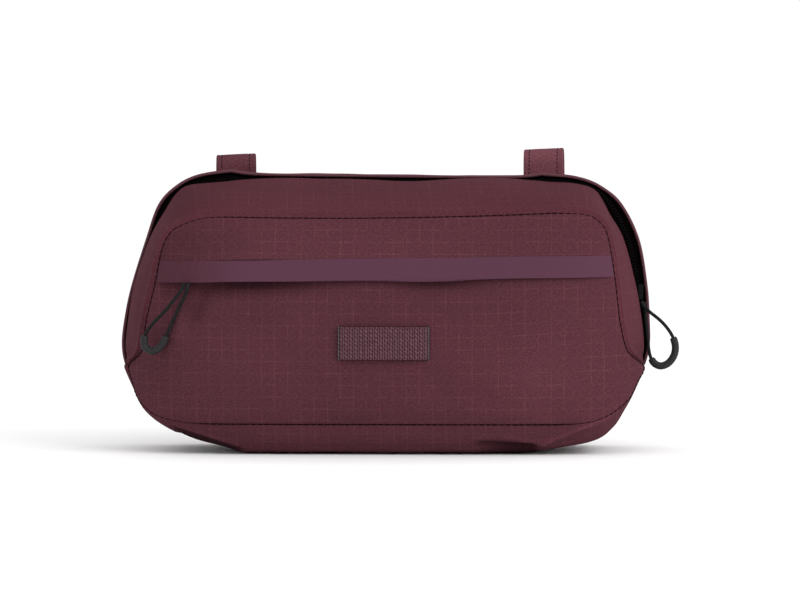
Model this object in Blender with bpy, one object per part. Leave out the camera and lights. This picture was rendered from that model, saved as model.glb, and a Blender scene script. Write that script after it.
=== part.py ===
"""A bicycle handlebar bag of ripstop cloth, zipped shut and standing on its flat base.

Metres, +Z up, the front panel towards -Y. The origin is on the ground below the middle of the bag and its
handlebar loops. The skin is one rounded shell, cut at its seams into panels 1.6 mm thick whose edges are
mitred, so that two panels meet at a seam with a small gap and no overlap.
"""

import math

import bmesh
import bpy
from mathutils import Vector

MM = 0.001

# Body
BAG_WIDTH = 266 * MM  # widest place, at the lower ends of the main zip
BAG_HEIGHT = 140.5 * MM  # base to the highest point of the rear lip
BAG_DEPTH = 88.5 * MM  # back panel to the front of the belly
CLOTH = 1.6 * MM  # wall of the laminated ripstop
SEAM_GAP = 0.3 * MM  # clearance between neighbouring pieces
BELLY_POWER = 7.0  # how late the front panel rolls back towards its side seams
RIM_FROM_BACK = 36 * MM  # front shell's rim along the main zip, measured from the back panel
LIP_FROM_BACK = 31 * MM  # rear shell's lip along the main zip
BASE_TURN_FROM_BACK = 57 * MM  # where the base becomes flat
BACK_ROUND = 5 * MM  # how far the shell draws in where it meets the back panel
LIP_SAG = 1.8 * MM  # how far the lip sags between the two straps
LIP_DROP = 1.6 * MM  # how much lower the lip's top right corner hangs than its left one
SEAM_TILT = 1.0 * MM  # how much higher the front seam's top right corner stands than the seam's level
SEAM_SAG = 1.4 * MM  # how far the front seam sags in the middle of its top

# Pocket flap, its tape and the pocket's zip
FLAP_EDGE_Z = 86.3 * MM  # lower edge of the flap at the middle
FLAP_RISE = 1.5 * MM  # how much higher that edge is at its right end than at the middle
TAPE_HEIGHT = 10.8 * MM
FLAP_PROUD = 1.8 * MM  # how far the flap's edge stands in front of the pocket
FLAP_LIFT = 2.0 * MM  # extra lift of that edge over the slider
FLAP_LIFT_PLACE = -0.66  # middle of that lift, as a share of half the bag's width
FLAP_LIFT_REACH = 42 * MM
FLAP_HOLD = 0.9  # share of the tape's height over which the flap stands off in full
POCKET_SLIT = 0.8 * MM
POCKET_ZIP_WIDTH = 12 * MM
ZIP_TAPE = 1.0 * MM  # thickness of both zips' tape
ZIP_TUCK = 2.5 * MM  # how far the main zip's tape reaches under each shell
ZIP_SINK = (2.0 * MM, 0.5 * MM, 0.5 * MM, 0.1 * MM)  # clearance under the cloth, from its front edge back

# Sliders
SLIDER_WIDTH = 6.0 * MM
SLIDER_LENGTH = 8.0 * MM
SLIDER_THICKNESS = 1.6 * MM
SLIDER_ROUND = 0.5 * MM
SLIDER_NARROW = 0.75  # width of its lower end as a share of the upper one
POCKET_SLIDER_PLACE = -0.716  # share of half the bag's width
MAIN_SLIDER_Z = 79 * MM

# Webbing tab on the front
TAB_WIDTH = 45 * MM
TAB_HEIGHT = 16.8 * MM
TAB_Z = 55.6 * MM
TAB_X = 1.4 * MM
TAB_THICKNESS = 1.6 * MM
TAB_BOW = 0.4 * MM

# Handlebar loops
STRAP_WIDTH = 20 * MM
STRAP_THICKNESS = 2.0 * MM
STRAP_BORE = 33 * MM  # takes a 31.8 mm handlebar
STRAP_CORNER = 8 * MM  # outer radius of the two corners beside the back panel
STRAP_STEPS = (13, 6)  # points of the round behind and of each corner
STRAP_SPACING = 157 * MM  # between the middles of the two loops
STRAP_MIDDLE_X = 0.8 * MM
STRAP_RISE = {"strap_left": 7.7 * MM, "strap_right": 10.5 * MM}  # their tops above the lip's

# Pull cords
CORD = 1.7 * MM
END_OUTSIDE = 3.7 * MM
END_CLEARANCE = 0.3 * MM
END_STEPS = 13  # points of the cord's route along its end piece
BORE_PAST = (0.5, 0.25)  # how far the end's bore runs past it, in points of the cord's route

LOOP_REACH = SEAM_GAP + STRAP_BORE + 2 * STRAP_THICKNESS
TAB_PROUD = SEAM_GAP + TAB_THICKNESS + TAB_BOW
BACK_Y = (BAG_DEPTH + TAB_PROUD - LOOP_REACH) / 2
HALF_WIDTH = BAG_WIDTH / 2
MITRE = SEAM_GAP / math.sqrt(2)

# How the shell is read and shaded
EDGE_POWER = 4  # how late dents and bows fade towards an edge
LIP_SAG_POWER = 10  # how close to the straps the lip's sag reaches
SEAM_TOP = 0.70  # place on the side from which the front seam's tilt and sag grow
LIP_TOP = 0.85  # place on the side from which the lip's drop grows
FLAP_SEAM_POWER = 16  # how late the flap's stand-off fades towards the side seams
TURN_REACH = 0.012  # step along an outline from which its direction is read
SEAM_LEAN = (1.0, 0.6, 0.3)  # how far a band's first rows lean their thickness backwards from the front seam
CLOTH_SHARP = math.radians(40)
TUBE_SHARP = math.radians(50)
WELD = 0.01 * MM

# The shell's side, from the end of the flat base up to the end of the flat top. Each row gives half widths as
# shares of half the bag's width, heights as shares of its height and depths in front of the back panel as
# shares of its depth: of the stitched seam round the front panel, the middle of the front panel at that
# height, the front shell's rim at the zip and the rear shell's lip. The last three columns say how far seam,
# rim and lip hang to the right there, as shares of half the width.
COLUMNS = (
    "seam_x", "seam_z", "seam_d", "belly_d", "rim_x", "rim_z", "lip_x", "lip_z",
    "seam_sway", "rim_sway", "lip_sway",
)
SIDE = (
    (0.640, 0.108, 0.893, 0.921, 0.526, 0.000, 0.528, 0.000, 0.006, 0.004, 0.010),  # end of the flat base
    (0.752, 0.116, 0.876, 0.932, 0.735, 0.036, 0.735, 0.040, 0.008, 0.015, 0.039),
    (0.847, 0.141, 0.825, 0.949, 0.825, 0.082, 0.829, 0.085, -0.004, 0.010, 0.027),
    (0.917, 0.192, 0.700, 0.972, 0.895, 0.142, 0.898, 0.146, 0.000, -0.002, 0.002),  # lower corner
    (0.949, 0.249, 0.588, 0.989, 0.944, 0.221, 0.944, 0.221, 0.003, -0.002, -0.002),
    (0.970, 0.301, 0.500, 0.998, 0.974, 0.302, 0.985, 0.302, 0.006, -0.002, -0.003),  # end of the main zip
    (0.906, 0.362, 0.712, 1.000, 0.981, 0.377, 1.000, 0.377, 0.006, -0.002, 0.000),  # widest
    (0.880, 0.470, 0.802, 0.994, 0.970, 0.477, 0.994, 0.470, 0.002, -0.002, 0.005),
    (0.855, 0.598, 0.830, 0.972, 0.946, 0.598, 0.977, 0.584, 0.011, 0.000, 0.014),
    (0.831, 0.722, 0.847, 0.927, 0.900, 0.751, 0.935, 0.747, 0.015, 0.008, 0.026),
    (0.803, 0.786, 0.853, 0.898, 0.852, 0.840, 0.880, 0.872, 0.025, 0.014, 0.018),  # shoulder
    (0.756, 0.819, 0.859, 0.881, 0.789, 0.929, 0.808, 0.940, 0.042, 0.018, 0.011),
    (0.700, 0.837, 0.861, 0.872, 0.707, 0.955, 0.714, 0.982, 0.050, 0.014, 0.004),
    (0.600, 0.842, 0.864, 0.868, 0.571, 0.967, 0.586, 1.000, 0.034, 0.006, 0.004),  # end of the flat top
)
SIDE_STEPS = 2 * (len(SIDE) - 1)  # panels are divided at each row of the table and half way between
ZIP_STEPS = 10
ZIP_END = ZIP_STEPS / SIDE_STEPS
FLAP_STEPS = 15  # last step of the pocket below the flap
TAPE_STEPS = 19  # first step above the tape
ACROSS_STEPS = 20

# How a band bulges between its two outlines: share of its depth, share of its way outwards.
GUSSET_PROFILE = ((0.0, 0.0), (0.06, 0.20), (0.14, 0.36), (0.38, 0.56), (0.70, 0.81), (1.0, 1.0))
BASE_PROFILE = ((0.0, 0.0), (0.07, 0.34), (0.17, 0.66), (0.36, 0.91), (1.0, 1.0))
# How the rear shell draws in towards the back panel: share of its depth, share of BACK_ROUND.
REAR_PROFILE = ((0.0, 0.0), (0.5, 0.0), (0.76, 0.10), (0.91, 0.40), (1.0, 1.0))

# Dents and tucks in the shell: middle height, middle across, reach of each, depth, as shares of the bag's
# height and half width; the depth is a share of the bag's depth. They press the front panel inwards.
DENTS = (
    (0.40, -0.40, 0.18, 0.35, 0.010),  # slack cloth left of the tab
    (0.26, 0.55, 0.14, 0.30, 0.012),  # slack cloth at the lower right
    (0.72, 0.10, 0.09, 0.60, 0.008),  # hollow across the flap
)

# Routes of the two pull cords: x, y, z in millimetres from the slider's middle, round the end piece and back.
POCKET_CORD = (
    (-1.51, -5.63, -5.30), (-2.21, -6.23, -8.30), (-5.82, -5.63, -13.10), (-9.67, -4.03, -17.80),
    (-13.69, -2.43, -22.00), (-17.58, -0.83, -26.00), (-20.41, 0.37, -29.90), (-21.61, 1.17, -33.70),
    (-21.21, 1.37, -36.90), (-18.81, 1.17, -38.80), (-15.81, 0.77, -38.50), (-13.01, 0.17, -36.20),
    (-11.01, -0.63, -32.80), (-9.18, -1.83, -28.60), (-7.02, -3.23, -23.80), (-4.44, -4.63, -18.70),
    (-1.85, -5.73, -13.50), (0.29, -6.33, -8.50), (0.69, -5.73, -5.30),
)
MAIN_CORD = (
    (0.74, -0.84, -4.80), (1.74, -1.64, -6.80), (5.04, -3.04, -10.00), (9.24, -4.64, -13.30),
    (12.84, -5.84, -17.00), (15.80, -6.44, -21.40), (17.40, -6.74, -26.20), (16.90, -6.74, -31.00),
    (14.20, -6.64, -35.00), (10.60, -6.44, -36.60), (7.40, -6.14, -35.60), (5.30, -5.44, -32.60),
    (4.30, -4.00, -28.60), (3.95, -1.95, -24.20), (3.40, -0.30, -18.50), (2.74, 0.56, -13.00),
    (2.34, 0.86, -8.50), (2.04, 0.86, -4.80),
)
END_SPAN = {"pocket": (6.4, 12.3), "main": (5.2, 10.9)}  # stretch of each route inside its end piece


def blend(a, b, share):
    return a + (b - a) * share


def smooth(share):
    share = min(max(share, 0.0), 1.0)
    return share * share * (3 - 2 * share)


def between(before, a, b, after, f):
    """A smooth curve from a to b at the share f, with the values before and after them."""
    bend = 2 * before - 5 * a + 4 * b - after + f * (3 * (a - b) + after - before)
    return a + 0.5 * f * (b - before + f * bend)


def side(name, v):
    """One column of the side's table at v, from 0 at the base to 1 at the top, on a smooth curve."""
    values = [row[COLUMNS.index(name)] for row in SIDE]
    place = min(max(v, 0.0), 1.0) * (len(values) - 1)
    k = min(int(place), len(values) - 2)
    before = values[max(k - 1, 0)]
    after = values[min(k + 2, len(values) - 1)]
    return between(before, values[k], values[k + 1], after, place - k)


def row_at_height(z):
    """The place v on the side where the front seam has this height."""
    low, high = 0.0, 1.0
    for _ in range(40):
        middle = (low + high) / 2
        if side("seam_z", middle) * BAG_HEIGHT < z:
            low = middle
        else:
            high = middle
    return (low + high) / 2


def dent(x, z):
    total = 0.0
    for middle_z, middle_x, reach_z, reach_x, depth in DENTS:
        dz = (z / BAG_HEIGHT - middle_z) / reach_z
        dx = (x / HALF_WIDTH - middle_x) / reach_x
        total += depth * BAG_DEPTH * math.exp(-(dx * dx + dz * dz))
    return total


def front(across, v):
    """A point on the front panel, across from -1 at the left seam to 1 at the right one."""
    x = HALF_WIDTH * (across * side("seam_x", v) + side("seam_sway", v))
    top = smooth((v - SEAM_TOP) / (1 - SEAM_TOP))
    z = BAG_HEIGHT * side("seam_z", v) + top * (SEAM_TILT * across - SEAM_SAG * (1 - across * across))
    depth = blend(side("belly_d", v), side("seam_d", v), abs(across) ** BELLY_POWER)
    edge = (1 - abs(across) ** EDGE_POWER) * math.sin(math.pi * v) ** 0.5
    return Vector((x, BACK_Y - BAG_DEPTH * depth + dent(x, z) * edge, z))


def front_at(x, v):
    """The front panel's point with this x."""
    return front((x / HALF_WIDTH - side("seam_sway", v)) / side("seam_x", v), v)


def outline(name, a):
    """A point of an outline: a runs from 0 along the base to 1, up the right side to 2, along the top to 3
    and down the left side to 4. The seam's point has its own depth, the others' depth is left at 0."""
    a %= 4.0
    stretch = int(a)
    f = a - stretch
    if name == "seam":
        across = (2 * f - 1, 1.0, 1 - 2 * f, -1.0)[stretch]
        return front(across, (0.0, f, 1.0, 1 - f)[stretch])
    v = (0.0, f, 1.0, 1 - f)[stretch]
    across = (2 * f - 1, 1.0, 1 - 2 * f, -1.0)[stretch]
    x = HALF_WIDTH * (across * side(name + "_x", v) + side(name + "_sway", v))
    z = BAG_HEIGHT * side(name + "_z", v)
    if name == "lip":
        z -= LIP_DROP * smooth((v - LIP_TOP) / (1 - LIP_TOP)) * (1 + across) / 2
    if name == "lip" and stretch == 2:
        z -= LIP_SAG * (1 - across**LIP_SAG_POWER)
    return Vector((x, 0.0, z))


def inward(name, a):
    """The unit direction from an outline towards the inside, in the plane of the outline."""
    ahead, behind = outline(name, a + TURN_REACH), outline(name, a - TURN_REACH)
    return Vector((behind.z - ahead.z, 0.0, ahead.x - behind.x)).normalized()


def zip_share(a):
    """0 along the base and 1 at the ends of the zip."""
    a %= 4.0
    v = a - 1 if 1 <= a < 2 else 4 - a if a >= 3 else 0.0
    return smooth(v / ZIP_END)


def collection(name):
    made = bpy.data.collections.new(name)
    bpy.context.scene.collection.children.link(made)
    return made


def material(name, colour, roughness, metallic=0.0):
    made = bpy.data.materials.new(name)
    made.use_nodes = True
    shader = made.node_tree.nodes["Principled BSDF"]
    shader.inputs["Base Color"].default_value = (*colour, 1.0)
    shader.inputs["Roughness"].default_value = roughness
    shader.inputs["Metallic"].default_value = metallic
    return made


def add(name, data, finish, home):
    made = bpy.data.objects.new(name, data)
    data.materials.append(finish)
    home.objects.link(made)
    return made


def panel(name, outer, inner, finish, home):
    """A panel of cloth lofted between two grids of points, its outer and its inner face."""
    rows, across = len(outer), len(outer[0])
    mesh = bmesh.new()
    skins = [[[mesh.verts.new(point) for point in row] for row in grid] for grid in (outer, inner)]
    for skin, turn in ((skins[0], 1), (skins[1], -1)):
        for j in range(rows - 1):
            for i in range(across - 1):
                ring = (skin[j][i], skin[j][i + 1], skin[j + 1][i + 1], skin[j + 1][i])
                mesh.faces.new(ring[::turn])
    border = [(0, i) for i in range(across - 1)]
    border += [(j, across - 1) for j in range(rows - 1)]
    border += [(rows - 1, i) for i in range(across - 1, 0, -1)]
    border += [(j, 0) for j in range(rows - 1, 0, -1)]
    for (j, i), (n, m) in zip(border, border[1:] + border[:1]):
        mesh.faces.new((skins[0][n][m], skins[0][j][i], skins[1][j][i], skins[1][n][m]))
    bmesh.ops.recalc_face_normals(mesh, faces=mesh.faces)
    data = bpy.data.meshes.new(name)
    mesh.to_mesh(data)
    mesh.free()
    data.shade_smooth()
    data.set_sharp_from_angle(angle=CLOTH_SHARP)
    return add(name, data, finish, home)


def spread(low, high, count):
    return [blend(low, high, k / (count - 1)) for k in range(count)]


def columns_across():
    """Places across the front from -1 to 1, closer together towards the sides, where the panel rolls back."""
    return [math.sin(x * math.pi / 2) for x in spread(-1, 1, ACROSS_STEPS + 1)]


def side_steps(first, last):
    return [k / SIDE_STEPS for k in range(first, last + 1)]


def wall(name, arounds, profile, finish, home):
    """A band of the shell: profile(a, k) gives the outer and the inner point of its row k at a."""
    rows = [[profile(a, k) for a in arounds] for k in range(profile.rows)]
    ends = ((0, 1), (-1, 1)) if arounds[0] < 3 else ((0, -1), (-1, -1))
    for row in rows:
        for place, turn in ends:
            for point in row[place]:
                point.z = row[place][0].z
            for point in row[place]:
                point.z += turn * SEAM_GAP / 2
    grids = [[[pair[skin] for pair in row] for row in rows] for skin in (0, 1)]
    return panel(name, *grids, finish, home)


def front_band(rim, rows, turn_depth):
    """Profile of a band that starts at the front seam and ends at the outline named rim."""
    def profile(a, k):
        depth, out = rows[k]
        seam = outline("seam", a)
        far = outline(rim, a)
        far.y = BACK_Y - turn_depth(a)
        point = Vector([blend(s, f, share) for s, f, share in zip(seam, far, (out, depth, out))])
        direction = inward("seam", a).lerp(inward(rim, a), out).normalized()
        if k == 0:
            point.y += MITRE
        back = SEAM_LEAN[k] if k < len(SEAM_LEAN) else 0.0
        return point, point + CLOTH * (direction + Vector((0, back, 0)))

    profile.rows = len(rows)
    return profile


def rear_band(a, k):
    depth, draw = REAR_PROFILE[k]
    point = outline("lip", a) + inward("lip", a) * BACK_ROUND * draw
    point.y = BACK_Y - LIP_FROM_BACK * (1 - depth)
    last = k == len(REAR_PROFILE) - 1
    if last:
        point.y -= MITRE
    return point, point + CLOTH * (inward("lip", a) - Vector((0, 1.0 if last else 0.0, 0)))


rear_band.rows = len(REAR_PROFILE)


def base_turn(a):
    return blend(BASE_TURN_FROM_BACK, RIM_FROM_BACK, zip_share(a))


def base_band(a, k):
    """The base runs on from its front band under the bag to the back panel."""
    bent = front_band("lip", BASE_PROFILE, base_turn)
    if k < len(BASE_PROFILE):
        return bent(a, k)
    return rear_band(a, k - len(BASE_PROFILE) + 1)


base_band.rows = len(BASE_PROFILE) + len(REAR_PROFILE) - 1


def zip_band(a, k):
    name, from_back = (
        ("rim", RIM_FROM_BACK + ZIP_TUCK),
        ("rim", RIM_FROM_BACK),
        ("lip", LIP_FROM_BACK),
        ("lip", LIP_FROM_BACK - ZIP_TUCK),
    )[k]
    point = outline(name, a) + inward(name, a) * (CLOTH + SEAM_GAP + ZIP_SINK[k])
    point.y = BACK_Y - from_back
    return point, point + ZIP_TAPE * inward(name, a)


zip_band.rows = len(ZIP_SINK)


def front_patch(name, acrosses, v_at, push, finish, home, edges=True):
    """A patch of the front panel. v_at(across) lists the rows at a column, push(point, across) moves the
    cloth towards the back, and edges says whether its outer columns end at the seam."""
    columns = []
    for across in acrosses:
        column = []
        for v in v_at(across):
            point = front(across, v)
            point.y += push(point, across)
            border = Vector()
            if edges and abs(across) == 1:
                border = inward("seam", 1 + v if across > 0 else 4 - v)
            elif edges and v in (0.0, 1.0):
                border = Vector((0, 0, 1 if v == 0 else -1))
            point = point + MITRE * border
            column.append((point, point + CLOTH * (border + Vector((0, 1, 0)))))
        columns.append(column)
    rows = list(zip(*columns))
    grids = [[[pair[skin] for pair in row] for row in rows] for skin in (0, 1)]
    return panel(name, *grids, finish, home)


def flap_edge(across):
    """Height of the flap's lower edge."""
    return FLAP_EDGE_Z + FLAP_RISE * across


def flap_push(point, across):
    """The flap stands in front of the pocket, most at its edge and over the slider, and not at the seams."""
    lift = FLAP_LIFT * math.exp(-(((point.x - FLAP_LIFT_PLACE * HALF_WIDTH) / FLAP_LIFT_REACH) ** 2))
    up = smooth((point.z - flap_edge(across)) / TAPE_HEIGHT - FLAP_HOLD)
    return -(FLAP_PROUD + lift) * (1 - up) * (1 - abs(across) ** FLAP_SEAM_POWER)


def no_push(point, across):
    return 0.0


def behind_pocket(point, across):
    return CLOTH + SEAM_GAP


def front_panels(cloth, tape, black, home):
    def above_tape(across):
        low = row_at_height(flap_edge(across) + TAPE_HEIGHT + SEAM_GAP / 2)
        return [low] + side_steps(TAPE_STEPS, SIDE_STEPS)

    def on_tape(across):
        low = row_at_height(flap_edge(across))
        high = row_at_height(flap_edge(across) + TAPE_HEIGHT - SEAM_GAP / 2)
        return spread(low, high, 3)

    def below_flap(across):
        return side_steps(0, FLAP_STEPS) + [row_at_height(flap_edge(across) - POCKET_SLIT)]

    def on_zip(across):
        middle = flap_edge(across)
        return spread(*(row_at_height(middle + s * POCKET_ZIP_WIDTH / 2) for s in (-1, 1)), 3)

    acrosses = columns_across()
    front_patch("front_upper", acrosses, above_tape, flap_push, cloth, home)
    front_patch("flap_tape", acrosses, on_tape, flap_push, tape, home)
    front_patch("pocket_panel", acrosses, below_flap, no_push, cloth, home)
    front_patch("pocket_zip", acrosses[2:-2], on_zip, behind_pocket, black, home, edges=False)


def back_panel(cloth, home):
    """The flat back, one face between the mitred edges of the shell's rear."""
    mesh = bmesh.new()
    rings = ([], [])
    for a in flat(0) + side_of(1, 0, SIDE_STEPS) + flat(2) + side_of(3, 0, SIDE_STEPS):
        edge = outline("lip", a) + inward("lip", a) * (BACK_ROUND + MITRE)
        for ring, inset in zip(rings, (0.0, CLOTH)):
            point = edge + inset * inward("lip", a)
            point.y = BACK_Y - inset
            ring.append(mesh.verts.new(point))
    mesh.faces.new(rings[0])
    mesh.faces.new(rings[1][::-1])
    for k in range(len(rings[0])):
        mesh.faces.new((rings[0][k], rings[0][k - 1], rings[1][k - 1], rings[1][k]))
    bmesh.ops.recalc_face_normals(mesh, faces=mesh.faces)
    data = bpy.data.meshes.new("back_panel")
    mesh.to_mesh(data)
    mesh.free()
    return add("back_panel", data, cloth, home)


def flat(stretch):
    """Places on the flat base (stretch 0) or the flat top (stretch 2), between its two ends."""
    return [stretch + (across + 1) / 2 for across in columns_across()[1:-1]]


def side_of(stretch, first, last):
    """Places on the right side (stretch 1) or the left one (stretch 3), in the order of the outline."""
    steps = side_steps(first, last)
    return [1 + v for v in steps] if stretch == 1 else [4 - v for v in reversed(steps)]


def webbing_tab(finish, home):
    """A short piece of webbing sewn down at both ends, lying just clear of the pocket between them."""
    outer, inner = [], []
    for z in spread(TAB_Z - TAB_HEIGHT / 2, TAB_Z + TAB_HEIGHT / 2, 4):
        v = row_at_height(z)
        rows = ([], [])
        for share in spread(-1, 1, 9):
            x = TAB_X + share * TAB_WIDTH / 2
            point = front_at(x, v)
            point.y -= SEAM_GAP + TAB_BOW * (1 - share**EDGE_POWER)
            rows[1].append(point)
            rows[0].append(point - Vector((0, TAB_THICKNESS, 0)))
        outer.append(rows[0])
        inner.append(rows[1])
    return panel("webbing_tab", outer, inner, finish, home)


def arc(middle, radius, start, end, count):
    angles = [math.radians(x) for x in spread(start, end, count)]
    return [(middle[0] + radius * math.cos(t), middle[1] + radius * math.sin(t)) for t in angles]


def loop_outline(height, radius, corner):
    """Outline of a handlebar loop seen from its side: round behind, flat with two small corners in front."""
    middle = SEAM_GAP + STRAP_THICKNESS + STRAP_BORE / 2
    near = middle - radius + corner
    behind, beside = STRAP_STEPS
    points = arc((middle, height), radius, -90, 90, behind)
    points += arc((near, height + radius - corner), corner, 90, 180, beside)
    points += arc((near, height - radius + corner), corner, 180, 270, beside)
    return points


def strap(name, x, top, finish, home):
    """A loop of webbing that stands on the back panel and takes the handlebar along X."""
    height = top - STRAP_THICKNESS - STRAP_BORE / 2
    data = bpy.data.curves.new(name, "CURVE")
    data.dimensions = "2D"
    data.fill_mode = "BOTH"
    data.extrude = STRAP_WIDTH / 2
    for grow in (STRAP_THICKNESS, 0.0):
        points = loop_outline(height, STRAP_BORE / 2 + grow, STRAP_CORNER - STRAP_THICKNESS + grow)
        spline = data.splines.new("POLY")
        spline.points.add(len(points) - 1)
        for slot, (u, w) in zip(spline.points, points):
            slot.co = (u, w, 0.0, 1.0)
        spline.use_cyclic_u = True
    made = add(name, data, finish, home)
    made.location = (x, BACK_Y, 0.0)
    made.rotation_euler = (math.pi / 2, 0.0, math.pi / 2)
    return made


def slider(name, width, place, turn, finish, home):
    """A zip's slider: a small rounded block, narrower at its lower end."""
    mesh = bmesh.new()
    bmesh.ops.create_cube(mesh, size=1.0)
    size = Vector((width, SLIDER_THICKNESS, SLIDER_LENGTH))
    for vertex in mesh.verts:
        vertex.co = Vector([c * s for c, s in zip(vertex.co, size)])
        if vertex.co.z < 0:
            vertex.co.x *= SLIDER_NARROW
    bmesh.ops.bevel(mesh, geom=mesh.edges[:], offset=SLIDER_ROUND, segments=1, affect="EDGES")
    data = bpy.data.meshes.new(name)
    mesh.to_mesh(data)
    mesh.free()
    made = add(name, data, finish, home)
    made.location = place
    made.rotation_euler = (0.0, 0.0, turn)
    return made


def route_at(route, place):
    """A point on the smooth curve through a cord's route, place counted in points of the route."""
    k = min(max(int(place), 0), len(route) - 2)
    a, b = route[k], route[k + 1]
    before = route[k - 1] if k else 2 * a - b
    after = route[k + 2] if k + 2 < len(route) else 2 * b - a
    return between(before, a, b, after, place - k)


def tube(name, points, radius, finish, home):
    data = bpy.data.curves.new(name, "CURVE")
    data.dimensions = "3D"
    data.bevel_depth = radius
    data.bevel_resolution = 2
    data.use_fill_caps = True
    spline = data.splines.new("POLY")
    spline.points.add(len(points) - 1)
    for slot, point in zip(spline.points, points):
        slot.co = (*point, 1.0)
    return add(name, data, finish, home)


def meshed(curve, home):
    """The closed mesh of a curve, which a Boolean can use."""
    evaluated = curve.evaluated_get(bpy.context.evaluated_depsgraph_get())
    data = bpy.data.meshes.new_from_object(evaluated)
    mesh = bmesh.new()
    mesh.from_mesh(data)
    bmesh.ops.remove_doubles(mesh, verts=mesh.verts, dist=WELD)
    bmesh.ops.recalc_face_normals(mesh, faces=mesh.faces)
    mesh.to_mesh(data)
    mesh.free()
    name = curve.name
    old = curve.data
    bpy.data.objects.remove(curve)
    bpy.data.curves.remove(old)
    made = bpy.data.objects.new(name, data)
    home.objects.link(made)
    return made


def pull(kind, place, offsets, cord_finish, end_finish, home, cutters):
    """A cord from the slider at place round through its hollow rubber end and back to the slider."""
    route = [place + Vector(offset) * MM for offset in offsets]
    count = 2 * len(route) - 1
    cord = [route_at(route, at) for at in spread(0, len(route) - 1, count)]
    tube(kind + "_pull_cord", cord, CORD / 2, cord_finish, home)
    first, last = END_SPAN[kind]
    points = [route_at(route, at) for at in spread(first, last, END_STEPS)]
    end = meshed(tube(kind + "_pull_end", points, END_OUTSIDE / 2, end_finish, home), home)
    past = [route_at(route, first - way) for way in BORE_PAST]
    past += points
    past += [route_at(route, last + way) for way in BORE_PAST[::-1]]
    bore = meshed(tube(kind + "_end_bore", past, CORD / 2 + END_CLEARANCE, end_finish, cutters), cutters)
    bore.hide_render = True
    bore.display_type = "WIRE"
    cut = end.modifiers.new("bore", "BOOLEAN")
    cut.operation = "DIFFERENCE"
    cut.solver = "EXACT"
    cut.object = bore
    end.data.shade_smooth()
    end.data.set_sharp_from_angle(angle=TUBE_SHARP)
    return end


def pocket_slider(finish, home):
    """Behind the flap's edge, just in front of the pocket's zip."""
    x = POCKET_SLIDER_PLACE * HALF_WIDTH
    row = row_at_height(FLAP_EDGE_Z + SLIDER_LENGTH / 2)
    near, place, far = (front_at(x + way * SLIDER_WIDTH / 2, row) for way in (-1, 0, 1))
    place.y += CLOTH - SEAM_GAP - SLIDER_THICKNESS / 2
    slider("pocket_slider", SLIDER_WIDTH, place, math.atan2(far.y - near.y, far.x - near.x), finish, home)
    return place


def main_slider(finish, home):
    """In the slit between rim and lip on the right side, resting just clear of the zip's slanted tape."""
    a = 1 + row_at_height(MAIN_SLIDER_Z)
    near, far = zip_band(a, 1)[0], zip_band(a, 2)[0]
    along = Vector((far.x - near.x, far.y - near.y, 0.0)).normalized()
    place = (near + far) / 2 + Vector((along.y, -along.x, 0.0)) * (SEAM_GAP + SLIDER_THICKNESS / 2)
    place.z = MAIN_SLIDER_Z
    width = RIM_FROM_BACK - LIP_FROM_BACK - 2 * SEAM_GAP
    slider("main_slider", width, place, math.atan2(along.y, along.x), finish, home)
    return place


def build():
    for thing in list(bpy.data.objects):
        bpy.data.objects.remove(thing)
    bag = collection("handlebar_bag")
    cutters = collection("cutters")
    ripstop = material("ripstop", (0.105, 0.036, 0.047), 0.75)
    bonded = material("bonded tape", (0.117, 0.046, 0.074), 0.55)
    webbing = material("webbing", (0.12, 0.052, 0.064), 0.8)
    black = material("zip black", (0.008, 0.007, 0.008), 0.6)
    metal = material("slider black", (0.012, 0.012, 0.013), 0.4, 0.5)
    cord = material("cord", (0.018, 0.018, 0.02), 0.7)
    rubber = material("rubber", (0.026, 0.026, 0.029), 0.5)

    front_panels(ripstop, bonded, black, bag)

    upper = side_of(1, ZIP_STEPS, SIDE_STEPS) + flat(2) + side_of(3, ZIP_STEPS, SIDE_STEPS)
    lower = side_of(3, 0, ZIP_STEPS) + flat(0) + side_of(1, 0, ZIP_STEPS)
    gusset = front_band("rim", GUSSET_PROFILE, lambda a: RIM_FROM_BACK)
    wall("front_gusset", upper, gusset, ripstop, bag)
    wall("rear_gusset", upper, rear_band, ripstop, bag)
    wall("main_zip", upper, zip_band, black, bag)
    wall("bottom_panel", lower, base_band, ripstop, bag)
    back_panel(ripstop, bag)
    webbing_tab(webbing, bag)

    for (name, rise), way in zip(STRAP_RISE.items(), (-1, 1)):
        strap(name, STRAP_MIDDLE_X + way * STRAP_SPACING / 2, BAG_HEIGHT + rise, webbing, bag)

    pull("pocket", pocket_slider(metal, bag), POCKET_CORD, cord, rubber, bag, cutters)
    pull("main", main_slider(metal, bag), MAIN_CORD, cord, rubber, bag, cutters)


build()
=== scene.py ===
# %% [markdown]
# # A handlebar bag in ripstop cloth
# The CAD row gives the bag's size and its separate pieces. Here every panel is sewn again as fine cloth,
# with its folds, its stitches, its zips and its cord pulls, and stands on a pale floor under soft light.

import functools
import math

import bmesh
import bpy
from mathutils import Matrix, Vector, noise


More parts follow.
